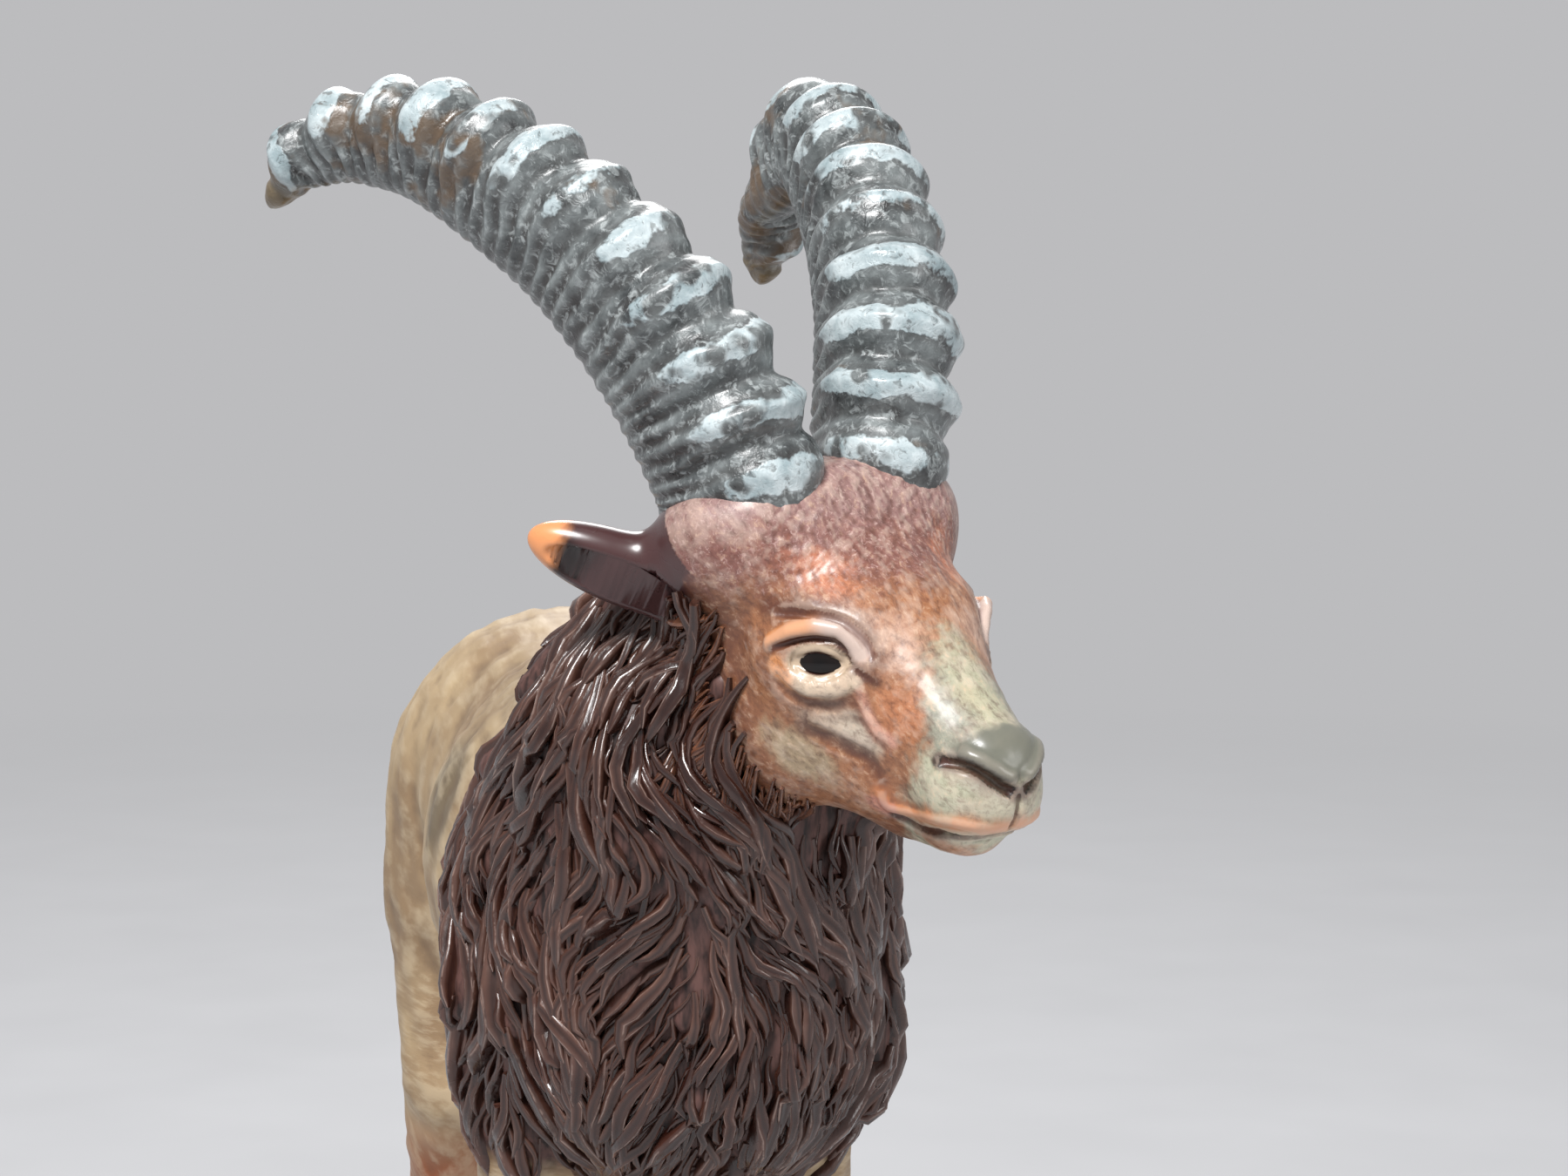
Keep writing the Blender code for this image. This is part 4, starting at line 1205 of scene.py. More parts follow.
def paint_muzzle(c):
    """Grey-green, yellower on top, darker on the pad, orange at the lip and the chin."""
    ahead, out, up = c.face.T
    edge = ahead - (8.3 - 1.4 * np.maximum(up - 0.6, 0)) + c.ragged * 0.7
    muzzle = band(edge, -1.0, 0.9)
    c.lay(muzzle, (146, 146, 130))
    bridge = muzzle * (1 - band(out + c.ragged * 0.4, 0.6, 2.0)) * band(up, 0.5, 1.5)
    c.lay(bridge, (192, 188, 158), 0.7)
    pad = band(ahead + c.ragged * 0.3, 9.2, 10.2) * band(up - c.ragged * 0.15, 0.9, 1.5)
    c.lay(pad, (108, 108, 97), 0.95)
    c.lay(muzzle * (1 - band(up, -0.2, 0.9)), (192, 190, 164), 0.8)
    c.lay(c.line(LIP_EDGE, 0.65, 0.8, 0.25), (210, 132, 84), 0.85)
    c.lay(c.spot((10.6, 1.0, -5.0), (3.4, 2.4, 1.5)), (176, 116, 80), 0.9)
    c.lay(c.spot((7.0, 3.0, -5.4), (1.6, 1.6, 0.8)), (200, 136, 120), 0.8)
    c.lay(c.spot((5.0, 0.0, -8.0), (5.0, 4.0, 2.4)), (112, 66, 46), 0.8)
    c.keep(np.maximum(pad, c.line(LIP_EDGE, 0.6)), pad * 0.8)


def paint_cheekbone(c):
    """A pale ridge with painted shade in the crease under it, and a pink vein with a painted shadow beside
    it.
    """
    c.lay(c.spot((3.2, 5.0, -1.5), (2.6, 2.6, 1.2)), (178, 168, 152), 0.9)
    c.lay(c.line(CHEEKBONE, 0.7, 1.0, 0.3), (194, 180, 162), 0.85)
    c.lay(c.spot((1.6, 5.9, -5.4), (3.4, 3.0, 1.9)), (164, 148, 120), 0.85)
    # Painted shade in the crease under the cheekbone.
    c.lay(c.line(CHEEK_CREASE, 0.6, 1.0, 0.3), (104, 62, 44), 0.75)
    c.lay(c.line(VEIN, 0.35, 0.6), (204, 152, 134), 0.9)
    # Painted shadow along the lower side of the vein.
    c.lay(c.line(np.array(VEIN) - (0.0, 0.0, 0.55), 0.25, 0.7), (136, 84, 66), 0.6)


def paint_eye_rims(c):
    """Brown painted shade round the orbit and under the fold, orange and lilac fold, cream lids."""
    noseward, up = c.eye[:, 0], c.eye[:, 2]
    # Painted shade: brown in the brow crease and under the lower lid.
    c.lay(c.eye_line(BROW, 0.7, 0.9, 0.15), (88, 50, 38), 0.9)
    c.lay(c.eye_line(UNDER_LID, 0.75, 1.0, 0.25), (128, 78, 52), 0.6)
    c.lay(c.eye_line(FOLD, 0.6, 0.3), (214, 140, 84), 0.95)
    c.lay(c.eye_line(FOLD, 0.66, 0.3) * band(noseward + up * 0.5, 0.2, 1.8), (186, 166, 158), 0.95)
    c.lay(c.eye_line(LOWER_LID, 0.5, 0.4, 0.05), (200, 182, 158), 0.9)
    c.lay(c.eye_line(LOWER_LID, 0.55, 0.4) * band(-noseward, 1.1, 2.0), (218, 142, 84), 0.95)
    # Painted shade in the crease under the overhanging fold.
    c.lay(c.eye_line(UNDER_FOLD, 0.32, 0.7), (74, 38, 28), 0.95)
    ring = np.sqrt((noseward / EYE_HALF_LENGTH) ** 2 + (up / EYE_HALF_HEIGHT) ** 2)
    rim = c.on_eye * (1 - band(ring, 1.05, 1.2))
    c.lay(rim, (190, 168, 144))
    c.lay(c.on_eye * (1 - band(ring, 0.62, 0.72)), (60, 30, 24))
    c.keep(np.maximum(rim, c.eye_line(FOLD, 0.62, 0.3)), rim)


def paint_mouth_and_nose_lines(c):
    """The dark slits, laid last so that nothing covers them."""
    c.lay(c.line(NOSTRIL, 0.52, 0.4), (26, 17, 13))
    c.lay(c.line(MOUTH, 0.4, 0.5), (48, 22, 15), 0.95)
    c.lay(c.line(PHILTRUM, 0.16, 0.6), (120, 92, 72), 0.8)


def paint_ears(c):
    """Dark brown outside, nearly black painted shade inside the hollow, with an orange tip."""
    for side in (-1, 1):
        base, run, mouth = ear_directions(side)
        length = (c.points - base) @ run / MM
        depth = (c.points - base - run * EAR_MIDDLE * MM) @ mouth / MM
        away = np.linalg.norm(c.points - base - np.outer(length * MM, run), axis=1) / MM
        here = away < 4.5
        on_ear = band(length + c.ragged * 0.5, 2.0, 3.4) * here
        c.lay(on_ear, (72, 46, 46))
        # Painted shade: the ear's hollow is painted nearly black.
        ear_hollow_shade = on_ear * band(depth, -1.9, -0.7) * (1 - band(away, 1.5, 1.9))
        c.lay(ear_hollow_shade * (1 - band(length, EAR_TIP, EAR_TIP + 0.8)), (24, 9, 8))
        c.lay(here * band(length + c.ragged * 0.2, EAR_TIP - 0.4, EAR_TIP + 0.6), (226, 150, 98))
        c.keep(on_ear, on_ear)


HEAD_PAINTING = (
    paint_cheek_and_forehead,
    paint_muzzle,
    paint_cheekbone,
    paint_eye_rims,
    paint_mouth_and_nose_lines,
    paint_ears,
)
colours = HeadColours(head.points)
for paint_part in HEAD_PAINTING:
    paint_part(colours)
shine = np.clip(colours.gloss, 0, 1)
# How deep each point lies: it drives the dark paint in the hollows, which is a wash and painted shade
# together.
deep = np.clip(head.hollows(5) * 3 + head.hollows(24) * 0.9, -0.4, 0.4)
layers = {
    "colour": colours.colour,
    "bare": np.clip(colours.bare, 0, 1),
    "gloss": shine,
    "flecked": np.clip(colours.forehead - colours.gloss, 0, 1),
    "lie": FACE.local(head.points) * np.array((0.45, 0.8, 0.8)) * MM,
    "hollow": deep * (1 - shine),
}
lightest = colours.colour.max(axis=0)
print("head colours from", colours.colour.min(axis=0).round(2), "to", lightest.round(2))

# %% The face's paint
f = face_paint = Paint("face paint", 0.45, coat=0.2)
grain = f.group(grain_group, Lie=f.layer("lie", vector=True), Fineness=1900.0)
furry = f.math("SUBTRACT", 1.0, f.layer("bare"))
blotch = f.noise(f.place, 500.0, 4.0, 0.65)
fur = f.noise(f.layer("lie", vector=True), 2600.0, 4.0, 0.7, 0.4)
fleck = f.span(f.noise(f.place, 3400.0, 3.0, 0.6, 0.9), 0.54, 0.7)
base = f.layer("colour", vector=True)
for mask, amount, colour in (
    (f.span(blotch, 0.5, 0.75), 0.2, (214, 170, 134)),
    (f.span(blotch, 0.5, 0.25), 0.4, (96, 60, 42)),
    (f.span(fur, 0.52, 0.3), 0.65, (76, 42, 32)),
    (f.span(fur, 0.56, 0.72), 0.45, (224, 190, 160)),
):
    base = f.mix(f.times(mask, f.times(furry, amount)), base, paint(*colour))
base = f.mix(f.times(fleck, f.layer("flecked"), 0.5), base, paint(214, 182, 174))
# The Wash colour darkens the hollows: wash paint and painted shade together.
coated = f.group(
    shade_wash_and_brush_group,
    Paint=base,
    Wash=paint(84, 46, 34),
    Brush=paint(236, 214, 196),
    Hollow=f.layer("hollow"),
    Strands=f.math("MULTIPLY_ADD", f.math("SUBTRACT", grain["Strands"], 0.5), furry, 0.5),
    Wash_amount=0.6,
    Brush_amount=0.22,
)
matt = f.span(grain["Patches"], 0.3, 0.7, 0.36, 0.5)
f.surface(coated["Color"], f.math("MULTIPLY_ADD", f.layer("gloss"), -0.16, matt))
f.bump(f.times(grain["Strands"], furry), 0.11 * MM, 0.7)
head_piece = head.finish(face_paint.material, **layers)

# %% [markdown]
# ## Eyes
# The eyes are nearly black and glossy, with a brown glint: a ball behind the lids, whose
# dark iris fills the whole opening.

# %% Two eyes
e = eye_paint = Paint("eye gloss", 0.06)
e.shader.inputs["Specular IOR Level"].default_value = 0.35
depth = e.span(e.noise(e.place, 700.0, 2.0), 0.35, 0.65)
e.feed(e.shader.inputs["Base Color"], e.mix(depth, paint(8, 6, 6), paint(24, 14, 11)))
eyes = []
for side, eye in EYES.items():
    shell = bmesh.new()
    place = Matrix.Translation(eye.at(0.0, -1.3, 0.0)) @ Matrix(eye.axes.T).to_4x4()
    size = Matrix.Diagonal((2.05 * MM, 1.6 * MM, 1.5 * MM, 1.0))
    bmesh.ops.create_icosphere(shell, subdivisions=4, radius=1.0, matrix=place @ size)
    mesh = bpy.data.meshes.new("eye")
    shell.to_mesh(mesh)
    shell.free()
    mesh.shade_smooth()
    mesh.materials.append(eye_paint.material)
    piece = put_in_scene("eye_right" if side < 0 else "eye_left", mesh)
    outwards(piece)
    eyes.append(piece)

# %% [markdown]
# ## The mane
# Long locks hang from behind the cheeks and ears down to the chest, each a strip that
# swells, splits into strands and ends in a point. A script walks down the neck to lay the
# lines, and Geometry Nodes turns every line into a grooved, flattened lock.

# %% Where the mane grows
SEED = 7
LOCK_ROWS, LOCKS_PER_ROW = 8, 18
LOCK_LENGTH, LOCK_HALF_WIDTH, LOCK_HEIGHT = 10.5 * MM, 2.0 * MM, 1.3 * MM
LOCK_FAN, LOCK_WAVE, FAN_SIZE = 0.6, 0.2, 14.7 * MM
RING_RADIUS, RING_JITTER = 23.2 * MM, 1.575 * MM
bare_neck = Clay(neck_forms, body_forms)


def mane_weight(points):
    """1 where the mane is, fading to 0 towards the face, the back and the legs."""
    face = HEAD.local(points)
    behind_cheeks = np.clip((-9.0 - 0.7 * (face[:, 2] + 6.5) - face[:, 0]) / 2.5, 0.0, 1.0)
    off_the_head = np.clip(head_clay.distance(points) / (1.2 * MM), 0.0, 1.0)
    below_horns = np.clip((4.5 - face[:, 2]) / 2.0, 0.0, 1.0)
    on_the_neck = (bare_neck.distance(points) < 1.45 * MM) * off_the_head
    return np.maximum(behind_cheeks, on_the_neck) * neck_and_chest(points) * below_horns


def lie_of_the_mane(points, outward, fan):
    """Which way the hair falls at each point: down, swept aside in broad fans."""
    fall = np.array((0.0, 0.12, -1.0))
    down = unit(fall - outward * (outward @ fall)[:, None])
    aside = np.cross(outward, down)
    return unit(down + (fan * smooth_noise(points, FAN_SIZE, SEED))[:, None] * aside), aside


def start_points(clay, rows, per_row, random):
    """Points in staggered rings round the neck, dropped onto it from outside."""
    crown, foot = HEAD.at(-13, -1.5, 3), spot(0.5, FORELEG_Y - 6, 41.0)
    starts, outs = [], []
    for row in range(rows):
        middle = crown + (foot - crown) * row / (rows - 1)
        for i in range(per_row):
            angle = 2 * math.pi * (i + 0.5 * (row % 2) + random.uniform(-0.3, 0.3)) / per_row
            out = np.array((math.cos(angle), math.sin(angle), 0.0))
            lift = random.uniform(-RING_JITTER, RING_JITTER)
            starts.append(middle + np.array((0, 0, lift)) + out * RING_RADIUS)
            outs.append(out)
    points, outs = np.array(starts), np.array(outs)
    for _ in range(40):
        points -= np.maximum(clay.distance(points), 0.0)[:, None] * outs
    points = clay.settle(points)
    return points[clay.distance(points) < 0.1 * MM]


def clump_forms(clay):
    """The big tongue-shaped clumps that give the mane its lumpy outline."""
    random = np.random.default_rng(SEED)
    skin = Clay(neck_forms, body_forms, head_forms)
    points = start_points(skin, LOCK_ROWS, LOCKS_PER_ROW, random)
    sway = random.uniform(0, 2 * math.pi, len(points))
    lengths = LOCK_LENGTH * random.uniform(0.75, 1.25, len(points))
    widths = LOCK_HALF_WIDTH * random.uniform(0.75, 1.2, len(points))
    heights = LOCK_HEIGHT * random.uniform(0.7, 1.15, len(points))
    steps = 6
    line, normals = [], []
    for step in range(steps):
        outward = unit(skin.slope(points))
        line.append(points)
        normals.append(outward)
        along, aside = lie_of_the_mane(points, outward, LOCK_FAN)
        turn = LOCK_WAVE * np.sin(sway + step)
        points = points + unit(along + turn[:, None] * aside) * (lengths / (steps - 1))[:, None]
        points = skin.settle(points, rounds=2)
    line, normals = np.stack(line, axis=1), np.stack(normals, axis=1)
    grown = np.maximum(mane_weight(line[:, 1]), mane_weight(line[:, 4]))
    clumps = Clay(reach=LOCK_HEIGHT)
    share = np.linspace(0, 1, steps)
    swell = (0.5 + 0.6 * share) * np.clip((1.1 - share) / 0.4, 0, 1) ** 0.6
    for i in np.flatnonzero(grown > 0.3):
        radius = widths[i] * swell
        proud = heights[i] * (0.25 + 0.75 * share)
        centres = line[i] - normals[i] * (radius - proud)[:, None]
        clumps.add(Limb(*zip(centres, radius)), 0.5)
    clay.add(clumps, 0.5)


# %% The body's skin, with the mane's big clumps
COAT_VOXEL = 0.5 * MM
body_clay = Clay(body_forms, leg_forms, tail_forms, neck_forms, clump_forms)
coat = Skin("coat", body_clay, COAT_VOXEL)
stretch = coat.points * np.array((1.0, 0.6, 0.5))
tufts = smooth_noise(stretch, 3.2 * MM, 3) * 0.16 + smooth_noise(stretch, 1.5 * MM, 4) * 0.07
above_hooves = np.clip((coat.points[:, 2] / MM - 6) / 6, 0, 1)
coat.raise_by(tufts * above_hooves * MM)
coat.points[:, 2] = np.maximum(coat.points[:, 2], 0.0)
print("coat is", (coat.points[:, 2].max() / MM).round(1), "mm high")

# %% The coat's paint
tan = Paint("tan coat paint", 0.55)
lie = tan.layer("lie", vector=True)
grain = tan.group(grain_group, Lie=lie, Fineness=900.0)
blotch = tan.noise(tan.place, 90.0, 3.0, 0.6)
base = tan.mix(tan.span(blotch, 0.4, 0.62), paint(148, 122, 92), paint(180, 156, 122))
base = tan.mix(tan.layer("pink"), base, paint(166, 138, 124))
base = tan.mix(tan.span(tan.layer("leg"), 0.2, 0.8), base, paint(150, 86, 50))
base = tan.mix(tan.layer("smudge"), base, paint(84, 74, 56))
base = tan.mix(tan.span(tan.layer("hoof"), 0.4, 0.6), base, paint(52, 46, 44))
# The Wash colour darkens the hollows: wash paint and painted shade together.
coated = tan.group(
    shade_wash_and_brush_group,
    Paint=base,
    Wash=paint(92, 68, 50),
    Brush=paint(214, 196, 166),
    Hollow=tan.layer("hollow"),
    Strands=grain["Strands"],
    Wash_amount=0.7,
    Brush_amount=0.35,
)
strand = tan.noise(tan.vector("MULTIPLY", tan.place, (1.0, 1.0, 0.22)), 1500.0, 3.0, 0.6)
hair = tan.mix(tan.span(strand, 0.36, 0.62), paint(30, 15, 12), paint(96, 66, 60))
mane = tan.span(tan.layer("mane"), 0.2, 0.5)
tan.surface(tan.mix(mane, coated["Color"], hair), tan.span(grain["Patches"], 0.3, 0.7, 0.42, 0.62))
tan.bump(grain["Strands"], 0.12 * MM, 0.6)


x, y, z = ((coat.points - GOAT_AT) / MM).T
# How deep each point lies: it drives the dark paint in the hollows, which is also painted shade.
rounded = np.clip(coat.hollows(6), -0.3, 0.3)
lie_coat = np.stack((x, y * 0.22 + z * 0.1, z * 0.8 - y * 0.2), axis=1) * MM
on_leg = 1 - band(z, 30, 44)
lie_leg = np.stack((x, y, z * 0.2), axis=1) * MM
smudges = patch(np.stack((np.abs(x), y, z), axis=1), (12, 8, 60), (9, 7, 6)) * 0.75
coat_piece = coat.finish(
    tan.material,
    lie=lie_coat * (1 - on_leg[:, None]) + lie_leg * on_leg[:, None],
    hollow=rounded,
    leg=1 - band(z, 22, 36),
    hoof=1 - band(z, 5.2, 6.2),
    pink=patch(np.stack((x, y, z), axis=1), (-9, -4, 42), (9, 12, 16)),
    smudge=np.clip(smudges, 0, 1),
    mane=neck_and_chest(coat.points),
)


# %% Lines for the locks
def comb_down(clay, points, length, fan, wavy, random, steps=8):
    """Lines that follow the lie of the mane over the skin, with the outward direction."""
    count = len(points)
    sway = random.uniform(0, 2 * math.pi, count)
    own = random.normal(0, 0.16, count)
    lengths = length * MM * random.uniform(0.7, 1.3, count)
    line, normals = [], []
    for step in range(steps + 1):
        outward = unit(clay.slope(points))
        line.append(points)
        normals.append(outward)
        along, aside = lie_of_the_mane(points, outward, fan)
        turn = own + wavy * np.sin(sway + step * 0.75)
        points = points + unit(along + turn[:, None] * aside) * (lengths / steps)[:, None]
        points = clay.settle(points, rounds=2)
    return np.stack(line, axis=1), np.stack(normals, axis=1)


def lay_locks(clay, rows, per_row, length, fan, wavy, seed):
    """One layer of the mane, where the mane grows."""
    random = np.random.default_rng(seed)
    starts = start_points(clay, rows, per_row, random)
    line, normals = comb_down(clay, starts, length, fan, wavy, random)
    grown = np.maximum(mane_weight(line[:, 1]), mane_weight(line[:, 4]))
    keep = np.flatnonzero(grown > 0.25)
    return line[keep], normals[keep]


neck_clay = Clay(neck_forms, body_forms, clump_forms, head_forms)
# Rows, locks in a row, length in millimetres, fan, wave and seed.
long_locks = lay_locks(neck_clay, 13, 34, 8.5, 1.0, 0.2, 7)
middle_locks = lay_locks(neck_clay, 17, 44, 6.0, 0.95, 0.25, 8)
fine_locks = lay_locks(neck_clay, 18, 58, 4.2, 1.2, 0.35, 9)
print("locks:", len(long_locks[0]), len(middle_locks[0]), len(fine_locks[0]))

# %% The lock tree
LOCK_INPUTS = (
    ("Lines", "Geometry", None),
    ("Sides", "Int", 18),
    ("Strands", "Float", 4.0),
    ("Groove", "Float", 0.3),
    ("Flatness", "Float", 0.5),
    ("Twist", "Float", 0.7),
    ("Unevenness", "Float", 0.22 * MM),
    ("Seed", "Int", 5),
    ("Finish", "Material", None),
)
n = GrowingTree("Locks along lines", LOCK_INPUTS, "Locks")
given = n.given

# Lines become curves that know which way is out and how wide the lock is.
curves = n.add("GeometryNodeMeshToCurve", given["Lines"]).outputs[0]
curves = n.store(curves, "along", n.get("SplineParameter", "Factor"))
facing_out = n.add("GeometryNodeSetCurveNormal", curves, mode="FREE")
n.feed(facing_out.inputs["Normal"], n.named("outward", "FLOAT_VECTOR"))
wide = n.add("GeometryNodeSetCurveRadius", facing_out.outputs[0])
n.feed(wide.inputs["Radius"], n.named("half_width"))
spin = n.add("GeometryNodeSetCurveTilt", wide.outputs[0])
random_twist = n.add("FunctionNodeRandomValue", data_type="FLOAT")
n.feed(random_twist.inputs[2], -1.0)
n.feed(random_twist.inputs[3], 1.0)
n.feed(random_twist.inputs["ID"], n.named("lock", "INT"))
n.feed(random_twist.inputs["Seed"], given["Seed"])
n.feed(spin.inputs["Tilt"], n.times(n.named("along"), n.times(random_twist.outputs[1], given["Twist"])))

# The ring that is swept along them: flattened, with a groove between strands.
ring = n.add("GeometryNodeCurvePrimitiveCircle", mode="RADIUS")
n.feed(ring.inputs["Resolution"], given["Sides"])
ring.inputs["Radius"].default_value = 1.0
turn = n.times(n.get("SplineParameter", "Factor"), 2 * math.pi)
comb = n.math("ABSOLUTE", n.math("COSINE", n.times(turn, n.times(given["Strands"], 0.5))))
combed = n.store(ring.outputs["Curve"], "strand", comb)
size = n.math("SUBTRACT", 1.0, n.times(comb, given["Groove"]))
flat = n.add("ShaderNodeCombineXYZ", 1.0, given["Flatness"], 1.0).outputs[0]
place = n.vector("MULTIPLY", n.scaled(n.get("InputPosition"), size), flat)
shaped = n.add("GeometryNodeSetPosition", combed, None, place).outputs[0]
sweep = n.add("GeometryNodeCurveToMesh", spin.outputs[0], shaped)
sweep.inputs["Fill Caps"].default_value = True
n.feed(sweep.inputs["Scale"], n.named("half_width"))
spread = n.math("SUBTRACT", n.noise(n.get("InputPosition"), 700.0, 2.0), 0.5)
push = n.scaled(n.get("InputNormal"), n.times(spread, given["Unevenness"]))
n.hand_over(n.add("GeometryNodeSetPosition", sweep.outputs[0], None, None, push).outputs[0])

# %% The mane's paint
m = mane_paint = Paint("mane paint", 0.3, coat=0.4)
mottle = m.noise(m.place, 160.0, 4.0, 0.6)
hair = m.noise(m.vector("MULTIPLY", m.place, (1.0, 1.0, 0.25)), 1900.0, 3.0, 0.6)
own = m.add("ShaderNodeTexWhiteNoise", noise_dimensions="1D")
m.feed(own.inputs["W"], m.layer("lock"))
base = m.mix(m.span(mottle, 0.36, 0.64), paint(48, 26, 20), paint(98, 68, 57))
base = m.mix(m.times(own.outputs["Value"], 0.6), base, paint(76, 44, 34))
brown = m.mix(m.span(hair, 0.35, 0.65), paint(96, 56, 40), paint(158, 104, 74))
base = m.mix(m.times(m.layer("tint"), m.span(m.layer("along"), 0.1, 0.9, 1.0, 0.15)), base, brown)
# Painted shade: the grooves between strands are painted nearly black, where shade gathers.
painted_gap_shade = m.span(m.layer("strand"), 0.4, 1.0, 0.0, 0.85)
base = m.mix(painted_gap_shade, base, paint(34, 12, 8))
# Pale paint on the strand crests, more towards the tips: partly dry brush and partly painted highlight.
crest = m.span(m.layer("strand"), 0.0, 0.3, 1.0, 0.0)
torn = m.span(m.noise(m.place, 900.0, 3.0, 0.65), 0.4, 0.54)
crest_brush_and_highlight = m.times(crest, torn, m.span(m.layer("along"), 0.15, 0.6, 0.4, 1.0))
base = m.mix(crest_brush_and_highlight, base, paint(198, 172, 160))
m.surface(base, m.span(mottle, 0.3, 0.7, 0.2, 0.38))
m.bump(hair, 0.1 * MM, 0.6)


# %% Every line becomes a lock
def lines_mesh(name, lines, half_width, lift, seed, tint):
    """Lines as bare edges. A lock swells, then ends in a rounded point that stands off."""
    points, outward = lines
    count, steps = points.shape[:2]
    share = np.linspace(0, 1, steps)
    rise = lift * (share**1.5 - 0.25) * MM
    index = np.arange(count * steps).reshape(count, steps)
    edges = np.stack((index[:, :-1].ravel(), index[:, 1:].ravel()), axis=1)
    mesh = bpy.data.meshes.new(name)
    raised = points + outward * rise[None, :, None]
    mesh.from_pydata(raised.reshape(-1, 3).tolist(), edges.tolist(), [])
    swell = (0.45 + 0.8 * share) * np.clip((1.02 - share) / 0.4, 0, 1) ** 0.6
    random = np.random.default_rng(seed)
    wide = random.uniform(0.6, 1.3, count)[:, None] * swell * half_width * MM
    add_layer(mesh, "outward", outward.reshape(-1, 3))
    add_layer(mesh, "tint", np.full(count * steps, tint))
    add_layer(mesh, "half_width", np.maximum(wide, 0.04 * MM).ravel())
    lock = mesh.attributes.new("lock", "INT", "POINT")
    lock.data.foreach_set("value", np.repeat(np.arange(count), steps).astype(np.int32))
    return mesh


def tufts_along(stations, per_row, offsets, toward, length, seed, steps=8):
    """Short locks rooted beside a line on the head, left and right, combed two ways."""
    random = np.random.default_rng(seed)
    path, toward = smooth_path(stations, per_row), np.array(toward)
    roots, ways = [], []
    for side in (-1, 1):
        for offset in offsets:
            jitter = random.normal(0, 0.35, path.shape)
            roots += [HEAD.at(a + offset, side * l, u) for a, l, u in path + jitter]
            for share in np.linspace(0, 1, per_row):
                a, l, u = toward[0] + share * (toward[1] - toward[0])
                ways.append(HEAD.along(a, side * l, u))
    points, ways = neck_clay.settle(np.array(roots), rounds=8), np.array(ways)
    sway = random.normal(0, 0.25, len(points))
    line, normals = [], []
    for _ in range(steps):
        outward = unit(neck_clay.slope(points))
        line.append(points)
        normals.append(outward)
        along = unit(ways - outward * (outward * ways).sum(axis=1)[:, None])
        along = unit(along + sway[:, None] * np.cross(outward, along))
        points = neck_clay.settle(points + along * length * MM / (steps - 1), rounds=2)
    return np.stack(line, axis=1), np.stack(normals, axis=1)


# The fringe starts beside the edge of the cheek, from the ear down to the throat.
CHEEK_EDGE = (
    (-8.7, 8.1, 2.7),
    (-10.0, 7.7, -0.4),
    (-9.3, 8.0, -3.5),
    (-8.4, 7.8, -6.0),
    (-7.0, 6.7, -7.9),
    (-5.7, 4.5, -9.4),
)
FRINGE_ROWS = (2.6, 1.8, 1.0, 0.2, -0.6)
FRINGE_WAYS = ((-0.9, 0.1, -0.4), (-0.4, 0.0, -1.0))
fringe = tufts_along(CHEEK_EDGE, 34, FRINGE_ROWS, FRINGE_WAYS, 4.2, 11)

# Each set of locks: its lines, half width, how far it stands off, seed, brown tint, sides.
LOCK_SETS = {
    "mane_long": (long_locks, 1.25, 0.6, 5, 0.0, 18),
    "mane_middle": (middle_locks, 0.9, 0.65, 6, 0.0, 14),
    "mane_fine": (fine_locks, 0.55, 0.6, 4, 0.0, 10),
    "cheek_fringe": (fringe, 0.5, 0.1, 3, 0.8, 10),
}
locks = []
for name, (*drawn, sides) in LOCK_SETS.items():
    settings = {"Sides": sides, "Finish": mane_paint.material}
    locks.append(grow(name, lines_mesh(name, *drawn), n.tree, settings))

# %% [markdown]
# ## The studio
# A pale floor that melts into a pale background, one large soft lamp from the upper left
# and weaker ones to fill. The camera stands where the photograph was taken from.

# %% Floor and background
GROUND = paint(188, 188, 190)
p = floor_paint = Paint("pale floor", 0.7)
away = p.vector("LENGTH", p.place)
far = p.span(away, 0.18, 0.6)
tint = p.mix(p.span(p.noise(p.place, 40.0, 2.0), 0.3, 0.7), paint(186, 186, 188), paint(190, 190, 192))
p.feed(p.shader.inputs["Base Color"], tint)
glow = p.add("ShaderNodeEmission", GROUND)
light = p.add("ShaderNodeLightPath").outputs
seen = p.math("MAXIMUM", light["Is Camera Ray"], light["Is Glossy Ray"])
blend = p.add("ShaderNodeMixShader", p.times(far, seen), p.shader.outputs[0], glow.outputs[0])
p.tree.links.new(blend.outputs[0], p.tree.nodes["Material Output"].inputs["Surface"])
shell = bmesh.new()
bmesh.ops.create_circle(shell, cap_ends=True, segments=96, radius=3.0)
floor_mesh = bpy.data.meshes.new("floor")
shell.to_mesh(floor_mesh)
shell.free()
floor_mesh.materials.append(floor_paint.material)
floor = put_in_scene("floor", floor_mesh)

world = bpy.data.worlds.new("studio")
bpy.context.scene.world = world
world.use_nodes = True
w = Nodes(world.node_tree)
light = w.add("ShaderNodeLightPath").outputs
seen = w.math("MAXIMUM", light["Is Camera Ray"], light["Is Glossy Ray"])
seen = w.math("MAXIMUM", seen, light["Is Transmission Ray"])
ambient = w.add("ShaderNodeBackground", (0.55, 0.57, 0.6, 1.0), 0.34)
backdrop = w.add("ShaderNodeBackground", GROUND, 1.0)
both = w.add("ShaderNodeMixShader", seen, ambient.outputs[0], backdrop.outputs[0])
w.tree.links.new(both.outputs[0], w.tree.nodes["World Output"].inputs["Surface"])

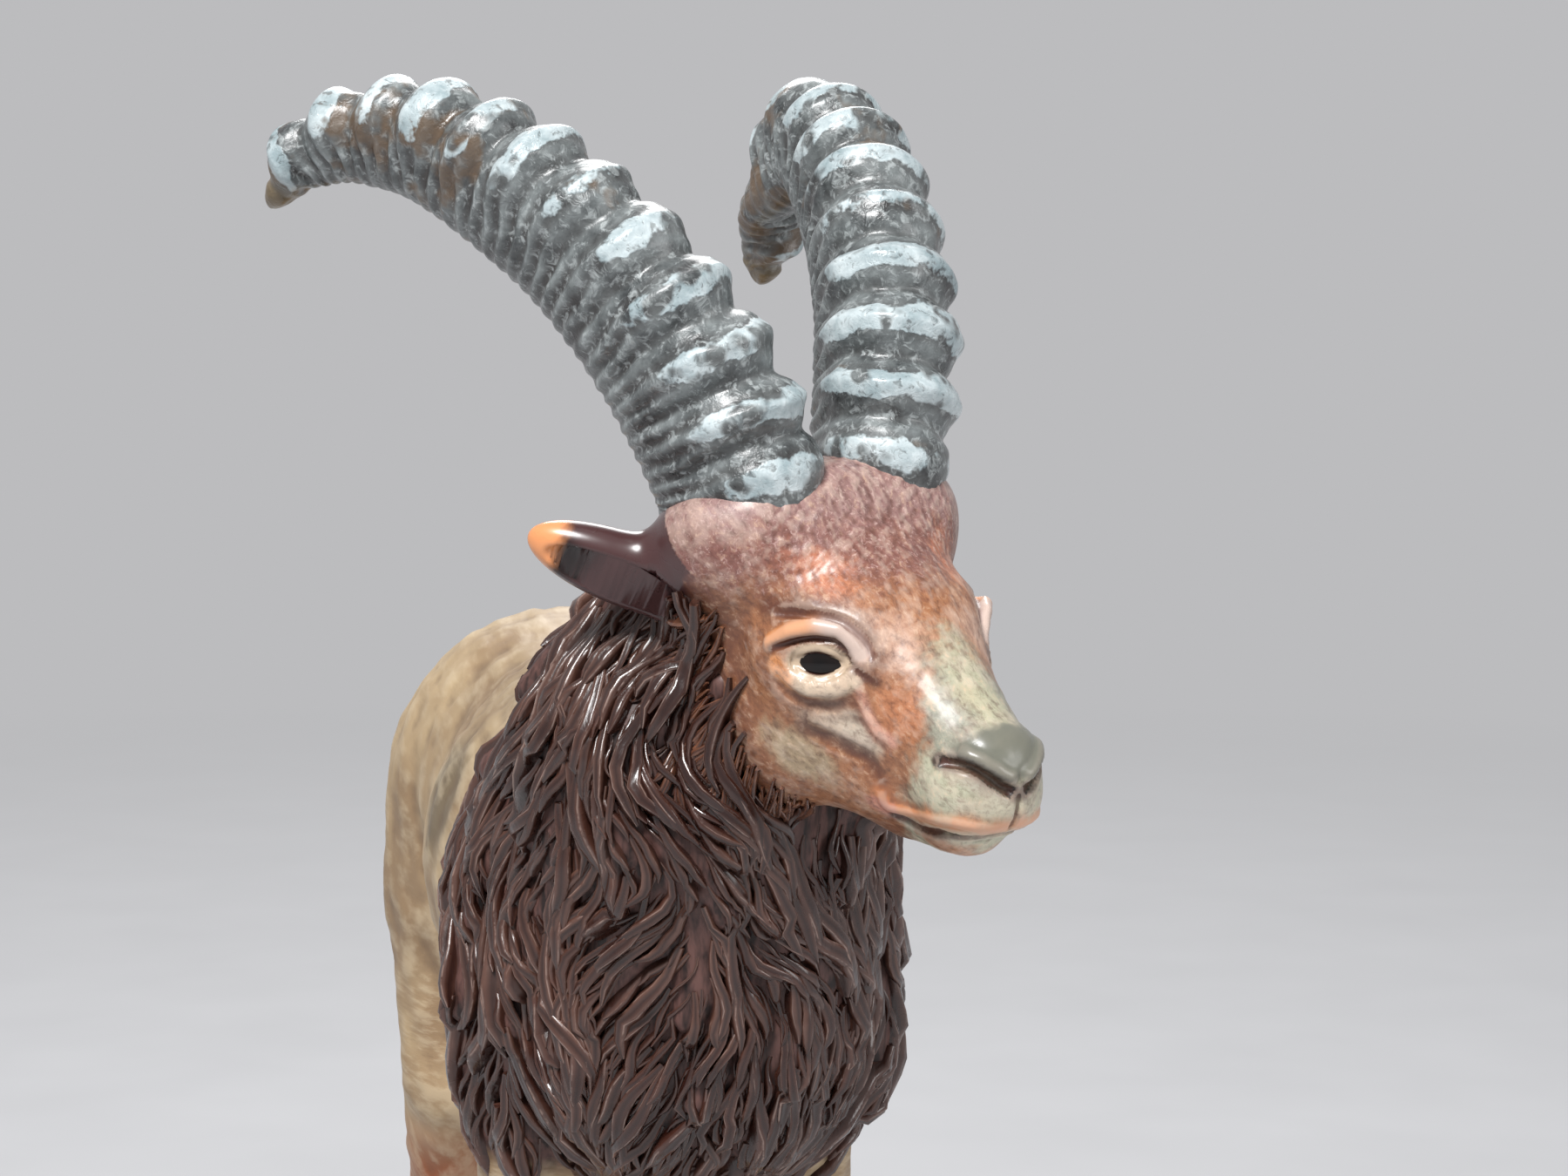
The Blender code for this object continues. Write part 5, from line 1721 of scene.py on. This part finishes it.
# %% Lamps
def lamp(name, place, aim, size, power):
    """A round soft lamp."""
    data = bpy.data.lights.new(name, "AREA")
    data.shape, data.size, data.energy = "DISK", size, power
    light = put_in_scene(name, data)
    light.location = place
    light.rotation_mode = "QUATERNION"
    light.rotation_quaternion = (Vector(aim) - Vector(place)).to_track_quat("-Z", "Y")


# Each lamp has a place, an aim, a width in metres and a power in watts.
MIDDLE = (0.0, -0.02, 0.07)
lamp("key", (-0.22, -0.36, 0.55), MIDDLE, 0.22, 5.4)
lamp("fill", (0.45, -0.40, 0.22), MIDDLE, 0.30, 1.0)
lamp("back", (0.10, 0.50, 0.50), MIDDLE, 0.35, 2.2)

# %% Camera
TURN, DROP = math.radians(12.0), math.radians(4.47)
SENSOR_WIDTH = 36.0
PHOTO_WIDTH_PIXELS, FOCAL_LENGTH_PIXELS = 1800.0, 3898.0
CAMERA_AT = GOAT_AT + np.array((-38.7, -233.6, 94.0)) * MM
camera = put_in_scene("camera", bpy.data.cameras.new("camera"))
camera.data.sensor_width = SENSOR_WIDTH
camera.data.lens = SENSOR_WIDTH * FOCAL_LENGTH_PIXELS / PHOTO_WIDTH_PIXELS
camera.data.clip_start = 5 * MM
camera.location = CAMERA_AT
sight = Vector((math.sin(TURN) * math.cos(DROP), math.cos(TURN) * math.cos(DROP), -math.sin(DROP)))
camera.rotation_mode = "QUATERNION"
camera.rotation_quaternion = sight.to_track_quat("-Z", "Y")
bpy.context.scene.camera = camera
bpy.context.scene.view_settings.view_transform = "Standard"
print("lens", round(camera.data.lens, 1), "mm")

# %% [markdown]
# ## Handing over
# Every piece rides on the goat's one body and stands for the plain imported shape. The two
# boxes are written side by side, so that a piece that grew too big is noticed.

# %% Pieces, sizes and the end
pieces = [coat_piece, head_piece, *eyes, *horns, *locks]
for piece in pieces:
    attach(piece, "root")
    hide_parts("goat")
floor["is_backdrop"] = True
boxes = [[list(corner) for corner in box] for box in (cad_box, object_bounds())]
print("packed and scene boxes:", boxes)
